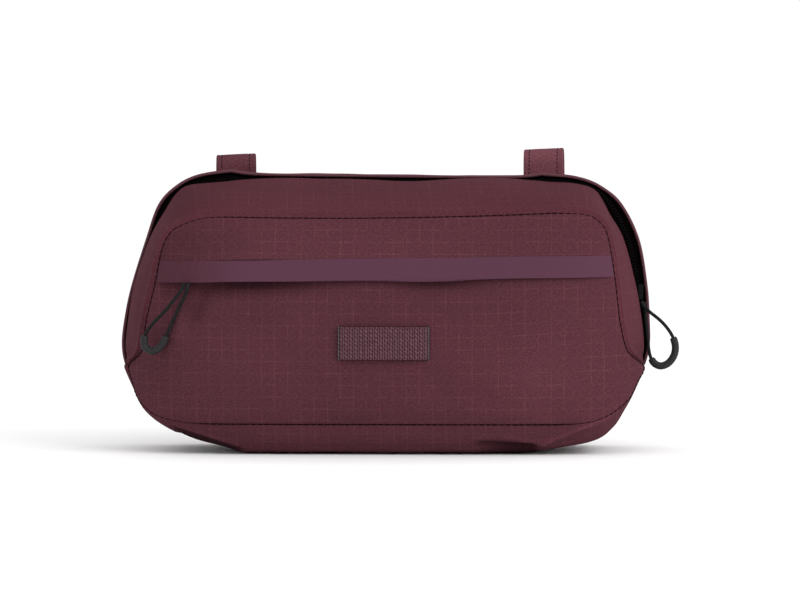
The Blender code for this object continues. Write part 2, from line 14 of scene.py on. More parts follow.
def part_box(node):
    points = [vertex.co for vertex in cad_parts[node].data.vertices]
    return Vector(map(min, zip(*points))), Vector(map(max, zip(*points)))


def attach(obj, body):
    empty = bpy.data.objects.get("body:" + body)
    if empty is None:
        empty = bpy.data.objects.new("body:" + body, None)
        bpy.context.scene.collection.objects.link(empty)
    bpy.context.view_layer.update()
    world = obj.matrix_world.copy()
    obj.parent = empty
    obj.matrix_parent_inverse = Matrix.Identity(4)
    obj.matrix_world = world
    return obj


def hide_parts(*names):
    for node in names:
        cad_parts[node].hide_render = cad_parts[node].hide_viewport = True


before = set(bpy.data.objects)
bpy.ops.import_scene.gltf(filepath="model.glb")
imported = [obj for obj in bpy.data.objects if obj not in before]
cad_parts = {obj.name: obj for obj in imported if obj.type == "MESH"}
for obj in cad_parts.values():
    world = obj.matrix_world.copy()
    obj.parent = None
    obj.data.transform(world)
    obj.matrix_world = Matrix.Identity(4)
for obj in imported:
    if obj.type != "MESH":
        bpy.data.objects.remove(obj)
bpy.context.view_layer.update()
MM = 0.001

# %% [markdown]
# ## Camera
# The product shot was taken from far off with a long lens, a touch to the right of the middle and a touch
# above the bag, so that the far half of each strap peeps out on the right. A short lens close by would
# swell the front and make the straps look small. Two metres and a 180 mm lens give that flat, undistorted
# look.

# %% Camera
AIM = Vector((7.85, -16.25, 75.25)) * MM
LENS = 180
CAMERA_DISTANCE = 2.0
CAMERA_TURN = math.radians(2)
CAMERA_RISE = math.radians(2)


def make_camera():
    back = Vector((
        math.sin(CAMERA_TURN) * math.cos(CAMERA_RISE),
        -math.cos(CAMERA_TURN) * math.cos(CAMERA_RISE),
        math.sin(CAMERA_RISE),
    ))
    data = bpy.data.cameras.new("camera")
    data.lens = LENS
    data.sensor_width = 36
    data.clip_start = 0.05
    made = bpy.data.objects.new("camera", data)
    bpy.context.scene.collection.objects.link(made)
    made.location = AIM + back * CAMERA_DISTANCE
    made.rotation_euler = (-back).to_track_quat("-Z", "Y").to_euler()
    bpy.context.scene.camera = made
    return made


camera = make_camera()
print("camera at", [round(x, 3) for x in camera.location])

# %% [markdown]
# ## Sizes and helpers
# The bag is as large as the CAD row. Width and height are measured in the photograph, and the depth is
# what such a bag has. A few helpers come with the sizes: they blend two values, ease from 0 to 1, raise a
# soft bump and draw a smooth curve through a table. Every shape below is made of these.

# %% Sizes and helpers
BAG_WIDTH = 266 * MM
BAG_HEIGHT = 140.5 * MM
BAG_DEPTH = 88.5 * MM
BACK_Y = 26.75 * MM
CLOTH = 1.5 * MM
HALF_WIDTH = BAG_WIDTH / 2


def blend(a, b, share):
    return a + (b - a) * share


def smooth(share):
    share = min(max(share, 0.0), 1.0)
    return share * share * (3 - 2 * share)


def bell(distance, reach):
    """A soft bump: 1 at distance 0 and almost 0 at twice the reach."""
    return math.exp(-((distance / reach) ** 2))


def waves(x, table):
    """Sum of soft bumps along x, each with its middle and reach in mm and its height."""
    return sum(height * bell(x / MM - middle, reach) for middle, reach, height in table)


def curve_through(values, place):
    """A smooth curve through evenly spaced values, place from 0 to their count less one."""
    k = min(max(int(place), 0), len(values) - 2)
    f = place - k
    a, b = values[k], values[k + 1]
    before = values[k - 1] if k else 2 * a - b
    after = values[k + 2] if k + 2 < len(values) else 2 * b - a
    bend = 2 * before - 5 * a + 4 * b - after
    twist = 3 * (a - b) + after - before
    return a + 0.5 * f * (b - before + f * (bend + f * twist))


print("body", [round(size / MM, 1) for size in (BAG_WIDTH, BAG_DEPTH, BAG_HEIGHT)], "mm")

# %% [markdown]
# ## Side of the shell
# One table describes the side of the shell from the flat base up to the flat top, as shares of the bag's
# half width, height and depth. The shell has three outlines: the stitched front seam, the free rim of the
# front gusset and the lip over the zip. They could be drawn by hand, but from one table solids and cloth
# keep the same lines.

# %% Side of the shell
COLUMNS = (
    "seam_x", "seam_z", "seam_d", "belly_d", "rim_x", "rim_z", "lip_x", "lip_z",
    "seam_sway", "rim_sway", "lip_sway",
)
SIDE = (
    (0.640, 0.108, 0.893, 0.921, 0.526, 0.000, 0.528, 0.000, 0.006, 0.004, 0.010),  # end of the flat base
    (0.752, 0.116, 0.876, 0.932, 0.735, 0.036, 0.735, 0.040, 0.008, 0.015, 0.039),
    (0.847, 0.141, 0.825, 0.949, 0.825, 0.082, 0.829, 0.085, -0.004, 0.010, 0.027),
    (0.917, 0.192, 0.700, 0.972, 0.895, 0.142, 0.898, 0.146, 0.000, -0.002, 0.002),  # lower corner
    (0.949, 0.249, 0.588, 0.989, 0.944, 0.221, 0.944, 0.221, 0.003, -0.002, -0.002),
    (0.970, 0.301, 0.500, 0.998, 0.974, 0.302, 0.985, 0.302, 0.006, -0.002, -0.003),  # end of the main zip
    (0.906, 0.362, 0.712, 1.000, 0.981, 0.377, 1.000, 0.377, 0.006, -0.002, 0.000),  # widest
    (0.880, 0.470, 0.802, 0.994, 0.970, 0.477, 0.994, 0.470, 0.002, -0.002, 0.005),
    (0.855, 0.598, 0.830, 0.972, 0.946, 0.598, 0.977, 0.584, 0.011, 0.000, 0.014),
    (0.831, 0.722, 0.847, 0.927, 0.900, 0.751, 0.935, 0.747, 0.015, 0.008, 0.026),
    (0.803, 0.786, 0.853, 0.898, 0.852, 0.840, 0.880, 0.872, 0.025, 0.014, 0.018),  # shoulder
    (0.756, 0.819, 0.859, 0.881, 0.789, 0.929, 0.808, 0.940, 0.042, 0.018, 0.011),
    (0.700, 0.837, 0.861, 0.872, 0.707, 0.955, 0.714, 0.982, 0.050, 0.014, 0.004),
    (0.600, 0.842, 0.864, 0.868, 0.571, 0.967, 0.586, 1.000, 0.034, 0.006, 0.004),  # end of the flat top
)
ZIP_END = 5 / 13  # place on the side where the main zip ends


@functools.lru_cache(maxsize=None)
def side(name, v):
    """One column of the side's table at v, from 0 at the base to 1 at the top."""
    values = [row[COLUMNS.index(name)] for row in SIDE]
    values = values[:1] + values + values[-1:]
    return curve_through(values, 1 + min(max(v, 0.0), 1.0) * (len(SIDE) - 1))


@functools.lru_cache(maxsize=None)
def row_at_height(z):
    """The place v on the side where the front seam has this height."""
    low, high = 0.0, 1.0
    for _ in range(30):
        middle = (low + high) / 2
        if side("seam_z", middle) * BAG_HEIGHT < z:
            low = middle
        else:
            high = middle
    return (low + high) / 2


print("side table", len(SIDE), "rows of", len(COLUMNS), "values")

# %% [markdown]
# ## Front and outlines
# The filled front is a shallow cushion, whose belly stands further forward than its seam, with a few wide
# dents where the load inside leaves room. Each outline is walked once round the bag: its place runs from
# 0 to 4, with one stretch for the base, the right side, the top and the left side.

# %% Front and outlines
SEAM_TILT = 1.0 * MM
SEAM_SAG = 1.4 * MM
SEAM_TOP = 0.70
BELLY_POWER = 7.0
DENT_POWER = 4
LIP_SAG = 1.8 * MM
LIP_SAG_POWER = 10
LIP_DROP = 1.6 * MM
LIP_TOP = 0.85
OUTLINE_STEP = 0.012
DENTS = (
    # middle z and x, reach along z and x, depth; shares of height, half width and depth
    (0.40, -0.40, 0.18, 0.35, 0.010),
    (0.26, 0.55, 0.14, 0.30, 0.012),
    (0.72, 0.10, 0.09, 0.60, 0.008),
)


def dent(x, z):
    total = 0.0
    for middle_z, middle_x, reach_z, reach_x, depth in DENTS:
        dz = (z / BAG_HEIGHT - middle_z) / reach_z
        dx = (x / HALF_WIDTH - middle_x) / reach_x
        total += depth * BAG_DEPTH * bell(math.hypot(dx, dz), 1.0)
    return total


def front(across, v):
    """A point on the front panel, across from -1 at the left seam to 1 at the right one."""
    x = HALF_WIDTH * (across * side("seam_x", v) + side("seam_sway", v))
    top = smooth((v - SEAM_TOP) / (1 - SEAM_TOP))
    z = BAG_HEIGHT * side("seam_z", v) + top * (SEAM_TILT * across - SEAM_SAG * (1 - across * across))
    depth = blend(side("belly_d", v), side("seam_d", v), abs(across) ** BELLY_POWER)
    edge = (1 - abs(across) ** DENT_POWER) * max(math.sin(math.pi * v), 0.0) ** 0.5
    return Vector((x, BACK_Y - BAG_DEPTH * depth + dent(x, z) * edge, z))


def front_at(x, z):
    """The front panel's point with this x at about this height."""
    v = row_at_height(z)
    return front((x / HALF_WIDTH - side("seam_sway", v)) / side("seam_x", v), v)


@functools.lru_cache(maxsize=None)
def outline(name, a):
    """A point of an outline: a runs from 0 along the base to 1, up the right side to 2, along the top to 3
    and down the left side to 4."""
    a %= 4.0
    stretch = int(a)
    f = a - stretch
    v = (0.0, f, 1.0, 1 - f)[stretch]
    across = (2 * f - 1, 1.0, 1 - 2 * f, -1.0)[stretch]
    if name == "seam":
        return front(across, v)
    x = HALF_WIDTH * (across * side(name + "_x", v) + side(name + "_sway", v))
    z = BAG_HEIGHT * side(name + "_z", v)
    if name == "lip":
        z -= LIP_DROP * smooth((v - LIP_TOP) / (1 - LIP_TOP)) * (1 + across) / 2
    if name == "lip" and stretch == 2:
        z -= LIP_SAG * (1 - across**LIP_SAG_POWER)
    return Vector((x, 0.0, z))


@functools.lru_cache(maxsize=None)
def inward(name, a):
    """The unit direction from an outline towards the inside, in the plane of the outline."""
    ahead, behind = outline(name, a + OUTLINE_STEP), outline(name, a - OUTLINE_STEP)
    return Vector((behind.z - ahead.z, 0.0, ahead.x - behind.x)).normalized()


print("top of the lip", round(outline("lip", 2.0).z / MM, 1), "mm")

# %% [markdown]
# ## Bands between the outlines
# Gussets and base are bands that run from the front seam back to the back panel. A band isn't straight:
# it turns round its seam in a soft bend, given by a profile of depth against width. One profile serves a
# whole band, so it keeps the same bend all the way round, as a sewn seam does.

# %% Bands between the outlines
RIM_FROM_BACK = 36 * MM
LIP_FROM_BACK = 31 * MM
BASE_TURN_FROM_BACK = 57 * MM
BACK_ROUND = 5 * MM
GUSSET_PROFILE = ((0.0, 0.0), (0.06, 0.20), (0.14, 0.36), (0.38, 0.56), (0.70, 0.81), (1.0, 1.0))
BASE_PROFILE = ((0.0, 0.0), (0.07, 0.34), (0.17, 0.66), (0.36, 0.91), (1.0, 1.0))
REAR_PROFILE = ((0.0, 0.0), (0.5, 0.0), (0.76, 0.10), (0.91, 0.40), (1.0, 1.0))


def profile_at(profile, share):
    """Depth and way outwards on a band's profile, share from 0 to 1 along it."""
    place = share * (len(profile) - 1)
    return [curve_through([row[k] for row in profile], place) for k in (0, 1)]


def from_seam(a, share, profile, edge, edge_y):
    """A point of a band between the front seam and the band's edge, which lies at edge_y."""
    depth, out = profile_at(profile, share)
    seam, rim = outline("seam", a), outline(edge, a)
    return Vector((blend(seam.x, rim.x, out), blend(seam.y, edge_y, depth), blend(seam.z, rim.z, out)))


def to_back(a, share, edge_y):
    """A point of a band between its edge, which lies at edge_y, and the back panel."""
    depth, draw = profile_at(REAR_PROFILE, share)
    point = outline("lip", a) + inward("lip", a) * BACK_ROUND * draw
    point.y = blend(edge_y, BACK_Y, depth)
    return point


def gusset(a, share):
    """A point of the front gusset, from the front seam to its rim."""
    return from_seam(a, share, GUSSET_PROFILE, "rim", BACK_Y - RIM_FROM_BACK)


def base_turn(a):
    """How far in front of the back panel the base has become flat; the rim's depth at the ends of the zip."""
    a %= 4.0
    v = a - 1 if 1 <= a < 2 else 4 - a if a >= 3 else 0.0
    return blend(BASE_TURN_FROM_BACK, RIM_FROM_BACK, smooth(v / ZIP_END))


print("front gusset", round((gusset(2.5, 1.0) - gusset(2.5, 0.0)).length / MM, 1), "mm wide on top")

# %% [markdown]
# ## Edge of the flap
# The pocket's flap ends in a free edge across the front. It stands a little proud of the pocket, more so
# at the left, and it is slack, so it rises and falls in a few soft waves. Pocket, flap and tape all need
# this edge, and one set of functions keeps them together.

# %% Edge of the flap
FLAP_EDGE_Z = 86.3 * MM
FLAP_RISE = 1.5 * MM
TAPE_HEIGHT = 10.8 * MM
FLAP_PROUD = 1.8 * MM
FLAP_LIFT = 2.0 * MM
FLAP_LIFT_X = -88 * MM
FLAP_LIFT_REACH = 42 * MM
FLAP_PROUD_TOP = 0.9  # share of the tape's height up to which the flap stands fully proud
FLAP_SIDE_POWER = 16
FLAP_WAVES = (
    # middle, reach and rise in mm
    (-70.0, 20.0, 0.3),
    (22.0, 20.0, -0.7),
    (70.0, 24.0, 0.2),
)
POCKET_TUCK = 2.2 * MM


def flap_edge(across):
    return FLAP_EDGE_Z + FLAP_RISE * across


def flap_wave(x):
    """How far the slack edge of the flap rises at x above a straight line."""
    return waves(x, FLAP_WAVES) * MM


def flap_push(point, across):
    """How far the flap stands in front of the pocket."""
    lift = FLAP_LIFT * bell(point.x - FLAP_LIFT_X, FLAP_LIFT_REACH)
    up = smooth((point.z - flap_edge(across)) / TAPE_HEIGHT - FLAP_PROUD_TOP)
    return (FLAP_PROUD + lift) * (1 - up) * (1 - abs(across) ** FLAP_SIDE_POWER)


print("the flap's edge is", round(flap_edge(0.0) / MM, 1), "mm above the floor")

# %% [markdown]
# ## Material tools
# Every finish here is a tree of small nodes: noise, waves and mixes. They could be wired by hand in the
# editor. A short class keeps each tree down to a few lines that can be read, and the weave becomes one
# shared group.

# %% Material tools


class Nodes:
    """Short ways to add the nodes of one tree."""

    def __init__(self, tree):
        self.tree = tree

    def add(self, kind, **settings):
        node = self.tree.nodes.new(kind)
        for name, value in settings.items():
            setattr(node, name, value)
        return node

    def put(self, socket, value):
        if isinstance(value, bpy.types.NodeSocket):
            self.tree.links.new(value, socket)
        elif value is not None:
            socket.default_value = value

    def maths(self, operation, a, b=None, c=None):
        node = self.add("ShaderNodeMath", operation=operation)
        for socket, value in zip(node.inputs, (a, b, c)):
            self.put(socket, value)
        return node.outputs[0]

    def mix(self, share, a, b, kind="MIX"):
        node = self.add("ShaderNodeMix", data_type="RGBA", blend_type=kind)
        self.put(node.inputs["Factor"], share)
        self.put(node.inputs["A"], a)
        self.put(node.inputs["B"], b)
        return node.outputs["Result"]

    def spread(self, value, low, high, new_low=0.0, new_high=1.0):
        node = self.add("ShaderNodeMapRange", interpolation_type="SMOOTHSTEP")
        for name, given in (
            ("Value", value), ("From Min", low), ("From Max", high), ("To Min", new_low), ("To Max", new_high)
        ):
            self.put(node.inputs[name], given)
        return node.outputs["Result"]

    def noise(self, vector, scale, detail=2.0, roughness=0.5):
        node = self.add("ShaderNodeTexNoise")
        self.put(node.inputs["Vector"], vector)
        node.inputs["Scale"].default_value = scale
        node.inputs["Detail"].default_value = detail
        node.inputs["Roughness"].default_value = roughness
        return node.outputs["Fac"]

    def wave(self, value, pitch):
        """A sine along a value, with this pitch."""
        return self.maths("SINE", self.maths("MULTIPLY", value, 2 * math.pi / pitch))

    def bump(self, height, depth):
        node = self.add("ShaderNodeBump")
        node.inputs["Strength"].default_value = 1.0
        node.inputs["Distance"].default_value = depth
        self.put(node.inputs["Height"], height)
        return node.outputs["Normal"]

    def plug(self, shader, colour, roughness=None, normal=None, shine=None):
        """Plugs a finish into its shader."""
        self.put(shader.inputs["Base Color"], colour)
        self.put(shader.inputs["Roughness"], roughness)
        self.put(shader.inputs["Normal"], normal)
        self.put(shader.inputs["Specular IOR Level"], shine)


def new_material(name, colour, roughness):
    made = bpy.data.materials.new(name)
    made.use_nodes = True
    shader = made.node_tree.nodes["Principled BSDF"]
    shader.inputs["Base Color"].default_value = (*colour, 1.0)
    shader.inputs["Roughness"].default_value = roughness
    return made, Nodes(made.node_tree), shader


def uv_vector(n):
    return n.add("ShaderNodeUVMap", uv_map="UVMap").outputs[0]


def object_vector(n):
    return n.add("ShaderNodeTexCoord").outputs["Object"]


def scaled(colour, *shares):
    """A colour with its red, green and blue multiplied, by one share or by three."""
    shares = shares * 3 if len(shares) == 1 else shares
    return (*[value * share for value, share in zip(colour, shares)], 1)


print("a colour made a fifth lighter:", [round(value, 3) for value in scaled((0.1, 0.03, 0.04), 1.2)[:3]])

# %% [markdown]
# ## Ripstop cloth
# Ripstop is a plain weave with a thicker yarn every 6 mm in both directions, which stops a tear. On this
# cloth the thicker yarns are a little redder and lie in small floats, so they read as thin dotted lines.
# A scanned cloth would do as well, but the pattern made here follows each panel's own UV map, in metres
# of cloth.

# %% Ripstop cloth
UPRIGHT_PITCH = 6.45 * MM
LEVEL_PITCH = 5.85 * MM
FLOAT_PITCH = 1.3 * MM
WEAVE_PITCH = 0.62 * MM
THREADS = ((620.0, 2200.0, 900.0), (2200.0, 700.0, 900.0))  # how noise is drawn out along the two threads


def grid_line(n, given, wobble, across, along, pitch):
    """Mask of the thicker yarns in one direction, as dotted and patchy lines."""
    place = n.maths("DIVIDE", across, pitch)
    place = n.maths("ADD", place, n.maths("MULTIPLY", wobble, 0.10))
    line = n.spread(n.maths("PINGPONG", place, 0.5), 0.045, 0.012, 0.0, 1.0)
    dots = n.spread(n.wave(along, FLOAT_PITCH), -0.6, 0.7, 0.12, 1.0)
    patches = n.spread(n.noise(given, 80.0, 3.0), 0.38, 0.62, 0.12, 1.0)
    return n.maths("MULTIPLY", n.maths("MULTIPLY", line, dots), patches)


def ripstop_group():
    """Masks of the ripstop weave, from a pattern vector in metres of cloth."""
    group = bpy.data.node_groups.new("ripstop weave", "ShaderNodeTree")
    group.interface.new_socket("Vector", in_out="INPUT", socket_type="NodeSocketVector")
    for name in ("Grid", "Weave", "Mottle"):
        group.interface.new_socket(name, in_out="OUTPUT", socket_type="NodeSocketFloat")
    n = Nodes(group)
    given = n.add("NodeGroupInput").outputs["Vector"]
    made = n.add("NodeGroupOutput")
    parts = n.add("ShaderNodeSeparateXYZ")
    n.put(parts.inputs[0], given)
    x, y = parts.outputs["X"], parts.outputs["Y"]
    wobble = n.noise(given, 60.0, 1.0)
    upright = grid_line(n, given, wobble, x, y, UPRIGHT_PITCH)
    level = grid_line(n, given, wobble, y, x, LEVEL_PITCH)
    n.put(made.inputs["Grid"], n.maths("MAXIMUM", upright, level))
    weave = n.maths("MULTIPLY", n.wave(x, WEAVE_PITCH), n.wave(y, WEAVE_PITCH))
    n.put(made.inputs["Weave"], n.maths("MULTIPLY_ADD", weave, 0.5, 0.5))
    threads = []
    for stretch in THREADS:
        drawn = n.add("ShaderNodeVectorMath", operation="MULTIPLY")
        n.put(drawn.inputs[0], given)
        drawn.inputs[1].default_value = stretch
        threads.append(n.noise(drawn.outputs[0], 1.0, 1.0, 0.6))
    n.put(made.inputs["Mottle"], n.maths("MULTIPLY", n.maths("ADD", threads[0], threads[1]), 0.5))
    return group


RIPSTOP_WEAVE = ripstop_group()


def ripstop(name, colour, grid_share, grid_colour=(0.195, 0.060, 0.078)):
    """Ripstop cloth; grid_share says how clearly its thicker yarns show."""
    made, n, shader = new_material(name, colour, 0.85)
    weave = n.add("ShaderNodeGroup")
    weave.node_tree = RIPSTOP_WEAVE
    n.put(weave.inputs["Vector"], uv_vector(n))
    grid, mottle = weave.outputs["Grid"], weave.outputs["Mottle"]
    slow = n.noise(object_vector(n), 16.0, 3.0)
    base = n.mix(n.spread(slow, 0.3, 0.7), scaled(colour, 0.94), scaled(colour, 1.06))
    greyer = scaled(colour, 1.34, 1.75, 1.62)
    redder = scaled(colour, 0.78, 0.50, 0.60)
    base = n.mix(0.4, base, n.mix(n.spread(mottle, 0.40, 0.60), redder, greyer))
    base = n.mix(n.maths("MULTIPLY", grid, grid_share), base, (*grid_colour, 1))
    # painted shade and painted light: the panel's own attribute darkens the colour, or lightens it where it
    # is below 0
    painted_shade = n.add("ShaderNodeAttribute", attribute_name="painted_shade").outputs["Fac"]
    base = n.mix(1.0, base, n.maths("SUBTRACT", 1.0, painted_shade), "MULTIPLY")
    height = n.maths("ADD", weave.outputs["Weave"], n.maths("MULTIPLY", grid, 0.8))
    n.plug(shader, base, n.spread(mottle, 0.3, 0.7, 0.8, 0.95), n.bump(height, 0.05 * MM), 0.03)
    return made


BURGUNDY = (0.072, 0.0225, 0.0305)
FRONT_CLOTH = ripstop("ripstop front", BURGUNDY, 0.50)
GUSSET_CLOTH = ripstop("ripstop gusset", (0.073, 0.0205, 0.0285), 0.36)
# painted light: the hem's copy of the cloth is half again lighter than the bag's
HEM_CLOTH_PAINTED_LIGHT = ripstop("hem cloth with painted light", (0.108, 0.042, 0.053), 0.0)
# lit and shaded copies of one cloth: the right loop's copy is lighter, painted light, and the left one
# darker, painted shade
STRAP_CLOTHS_PAINTED_LIGHT = {
    "strap_left": ripstop("left strap cloth in painted shade", (0.092, 0.030, 0.039), 0.0),
    "strap_right": ripstop("right strap cloth in painted light", (0.130, 0.044, 0.056), 0.0),
}
print(len(bpy.data.materials), "cloths share", RIPSTOP_WEAVE.name)

# %% [markdown]
# ## Tape, webbing, cord and rubber
# The flap's edge is a welded film with the weave faintly printed through it; here it is drawn as a smooth
# film with a fine grain, without the weave. Thread, zip, cord and webbing are all yarn, fine fibres that
# catch the light unevenly. Real strands could be modelled, but at this distance noise in the colour and in
# the bump looks the same. Rubber and black metal take the same finish with a coarser, fainter grain.

# %% Tape, webbing, cord and rubber


def bonded_tape():
    """The welded tape: a smooth film, with painted shade darkening its left end."""
    made, n, shader = new_material("bonded tape", (0.083, 0.032, 0.054), 0.6)
    film = n.noise(object_vector(n), 700.0, 2.0)
    left = n.add("ShaderNodeSeparateXYZ")
    n.put(left.inputs[0], object_vector(n))
    rightwards = n.spread(left.outputs["X"], -0.100, -0.060, 0.0, 1.0)
    # painted shade: the tape's colour darkens towards its left end
    colour = n.mix(rightwards, (0.060, 0.0185, 0.028, 1), (0.076, 0.028, 0.047, 1))
    colour = n.mix(n.spread(film, 0.35, 0.65, 0.0, 0.2), colour, (0.088, 0.034, 0.058, 1))
    n.plug(shader, colour, n.spread(film, 0.3, 0.7, 0.58, 0.7), n.bump(film, 0.02 * MM), 0.07)
    return made


def fibre(name, colour, roughness, grain, depth, light=1.35, shine=0.15):
    """Yarn, cord, rubber or metal: a fine grain, with its light parts this much lighter."""
    made, n, shader = new_material(name, colour, roughness)
    fibres = n.noise(object_vector(n), grain, 3.0, 0.65)
    colours = n.mix(n.spread(fibres, 0.35, 0.65), scaled(colour, 1 / light), scaled(colour, light))
    rough = n.spread(fibres, 0.3, 0.7, roughness - 0.08, roughness + 0.08)
    n.plug(shader, colours, rough, n.bump(fibres, depth), shine)
    return made


def webbing_cloth():
    """Webbing, with painted shade in the hollows between its cords and along its edges, which the piece's own
    attribute marks.
    """
    made, n, shader = new_material("webbing", (0.10, 0.042, 0.052), 0.75)
    weave_painted_shade = n.add("ShaderNodeAttribute", attribute_name="weave_painted_shade").outputs["Fac"]
    fibres = n.noise(object_vector(n), 1600.0, 3.0, 0.65)
    colour = n.mix(n.spread(fibres, 0.35, 0.65), (0.082, 0.034, 0.043, 1), (0.145, 0.070, 0.086, 1))
    # painted shade: the weave's hollows and a thin line along each edge are darkened
    colour = n.mix(weave_painted_shade, colour, (0.026, 0.007, 0.011, 1))
    n.plug(shader, colour, n.spread(fibres, 0.3, 0.7, 0.7, 0.85), n.bump(fibres, 0.05 * MM), 0.08)
    return made


TAPE_FILM = bonded_tape()
WEBBING = webbing_cloth()
SEAM_THREAD = fibre("seam thread", (0.010, 0.0032, 0.0045), 0.85, 2500.0, 0.04 * MM, shine=0.03)
TAB_THREAD = fibre("tab thread", (0.060, 0.062, 0.068), 0.7, 2500.0, 0.04 * MM, 2.0, shine=0.05)
# black zip, made darker than black cloth as painted shade of the slit it lies in
ZIP_TAPE_PAINTED_SHADE = fibre("zip tape with painted shade", (0.0012, 0.0009, 0.0008), 0.9, 1800.0, 0.05 * MM, shine=0.0)
ZIP_COIL_PAINTED_SHADE = fibre("zip coil with painted shade", (0.0018, 0.0014, 0.0014), 0.6, 900.0, 0.01 * MM, shine=0.04)
CORD = fibre("cord", (0.0105, 0.0105, 0.011), 0.8, 1500.0, 0.12 * MM, 1.8, shine=0.08)
RUBBER = fibre("rubber", (0.0155, 0.0155, 0.017), 0.6, 700.0, 0.05 * MM, 1.2, shine=0.2)
# black metal, made darker still as painted shade where the sliders sit in the slits
SLIDER_METAL_PAINTED_SHADE = fibre("slider metal with painted shade", (0.0016, 0.0016, 0.0018), 0.5, 500.0, 0.01 * MM, 1.1, shine=0.05)
print(len(bpy.data.materials), "materials")

# %% [markdown]
# ## Folds and shades
# Real cloth is never quite flat: it rolls under at a seam, buckles along a few lines and is a little
# uneven all over. These could be sculpted by hand, or left to a cloth simulation, but a stiffened bag has
# few folds and the photograph shows each of them. So each fold is a line with a width and a height, and
# small noise does the rest. Painted shade darkens the cloth's colour in the hollows, and a few soft
# patches of painted shade or painted light darken or lighten it where the light falls less or more.

# %% Folds and shades
SEAM_ROLL = 0.9 * MM
END_ROLL = 0.6 * MM
FADE_IN = 6 * MM  # way from a seam over which folds and unevenness set in
UNEVEN = {
    # size and height of the bumps in mm, seed
    "pocket": ((26.0, 0.45, 0.0), (11.0, 0.16, 7.0)),
    "flap": ((24.0, 0.3, 3.0), (10.0, 0.1, 9.0)),
    "front_gusset": ((30.0, 1.1, 5.0), (11.0, 0.3, 2.0)),
    "rear_gusset": ((24.0, 0.4, 8.0), (9.0, 0.1, 4.0)),
    "base": ((24.0, 0.45, 11.0), (9.0, 0.12, 6.0)),
    "back": ((30.0, 0.3, 13.0),),
    "strap": ((12.0, 0.15, 1.0),),
}


def crowd(share, strength=0.8):
    """Spreads grid lines so that they lie closer together at both edges of a panel."""
    return share - strength * math.sin(2 * math.pi * share) / (2 * math.pi)


def rolled_edge(distance, radius):
    """How far the cloth drops at this distance from an edge that is rolled under."""
    if distance >= radius:
        return 0.0
    rest = radius - max(distance, 0.0)
    return radius - math.sqrt(max(radius * radius - rest * rest, 0.0))


def uneven(point, kind):
    """Soft unevenness of the cloth of one panel."""
    total = 0.0
    for size, height, seed in UNEVEN[kind]:
        x, y, z = point / (size * MM)
        total += height * MM * noise.noise(Vector((x + seed, y, z)))
    return total


def fold(x, z, line, width, height):
    """Height in mm of a soft ridge, or valley below 0, along a line x1, z1, x2, z2 in mm."""
    x1, z1, x2, z2 = (value * MM for value in line)
    dx, dz = x2 - x1, z2 - z1
    along = ((x - x1) * dx + (z - z1) * dz) / (dx * dx + dz * dz)
    near = min(max(along, 0.0), 1.0)
    gap = math.hypot(x - x1 - near * dx, z - z1 - near * dz)
    return height * bell(gap, width * MM)


def folds(point, table):
    return MM * sum(fold(point.x, point.z, *row) for row in table)


def under_line(x, z, line, soft, fade):
    """1 below a line x1, z1, x2, z2 in mm and 0 above it; it sets in over the left share of its length."""
    x1, z1, x2, z2 = (value * MM for value in line)
    along = (x - x1) / (x2 - x1)
    below = smooth(0.5 + (blend(z1, z2, along) - z) / (soft * MM))
    return below * smooth(along / fade) * smooth(8 * (1 - along))


def painted_shade_patches(point, table):
    """Sum of soft round patches of painted shade (painted light below 0): middle x, z and reach along x, z in
    mm, share darker.
    """
    total = 0.0
    for middle_x, middle_z, reach_x, reach_z, share in table:
        dx = (point.x / MM - middle_x) / reach_x
        dz = (point.z / MM - middle_z) / reach_z
        total += share * bell(math.hypot(dx, dz), 1.0)
    return total


print("a rolled seam drops", round(rolled_edge(0.0, SEAM_ROLL) / MM, 2), "mm")

# %% [markdown]
# ## Sewing a panel
# A panel starts as a flat grid, as cloth starts as a flat cut. Its points are moved onto the shell, then
# pushed along their normals by the panel's folds, and Solidify gives it the thickness of the cloth on the
# inside. Each panel is one grid, so the ripstop pattern can follow it by a UV map measured in metres of
# cloth.

# %% Sewing a panel


def finish_piece(piece, finish, node=None):
    """Gives a piece its material and smooth faces, and ties it to the frame."""
    piece.data.materials.clear()
    piece.data.materials.append(finish)
    bpy.ops.object.select_all(action="DESELECT")
    piece.select_set(True)
    bpy.context.view_layer.objects.active = piece
    bpy.ops.object.shade_smooth_by_angle(angle=math.radians(40))
    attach(piece, "root")
    if node:
        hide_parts(node)
    return piece


def thicken(piece, thickness):
    """Gives the cloth its thickness on the inside, and applies it."""
    wall = piece.modifiers.new("wall", "SOLIDIFY")
    wall.thickness = thickness
    wall.offset = -1.0
    bpy.context.view_layer.objects.active = piece
    bpy.ops.object.modifier_apply(modifier=wall.name)


def add_grid(name, columns, rows):
    """A flat grid and, for each of its points, the shares s and t along its sides."""
    bpy.ops.object.select_all(action="DESELECT")
    bpy.ops.mesh.primitive_grid_add(x_subdivisions=columns, y_subdivisions=rows, size=1.0, calc_uvs=True)
    piece = bpy.context.object
    piece.name = piece.data.name = name
    piece.data.uv_layers[0].name = "UVMap"
    return piece, [(v.co.x + 0.5, v.co.y + 0.5) for v in piece.data.vertices]


def way_along(points):
    """The way from the first point to each point of a line."""
    way = [0.0]
    for a, b in zip(points, points[1:]):
        way.append(way[-1] + (b - a).length)
    return way


def set_uv(mesh, places):
    for loop, uv in zip(mesh.loops, mesh.uv_layers[0].data):
        uv.uv = places[loop.vertex_index]


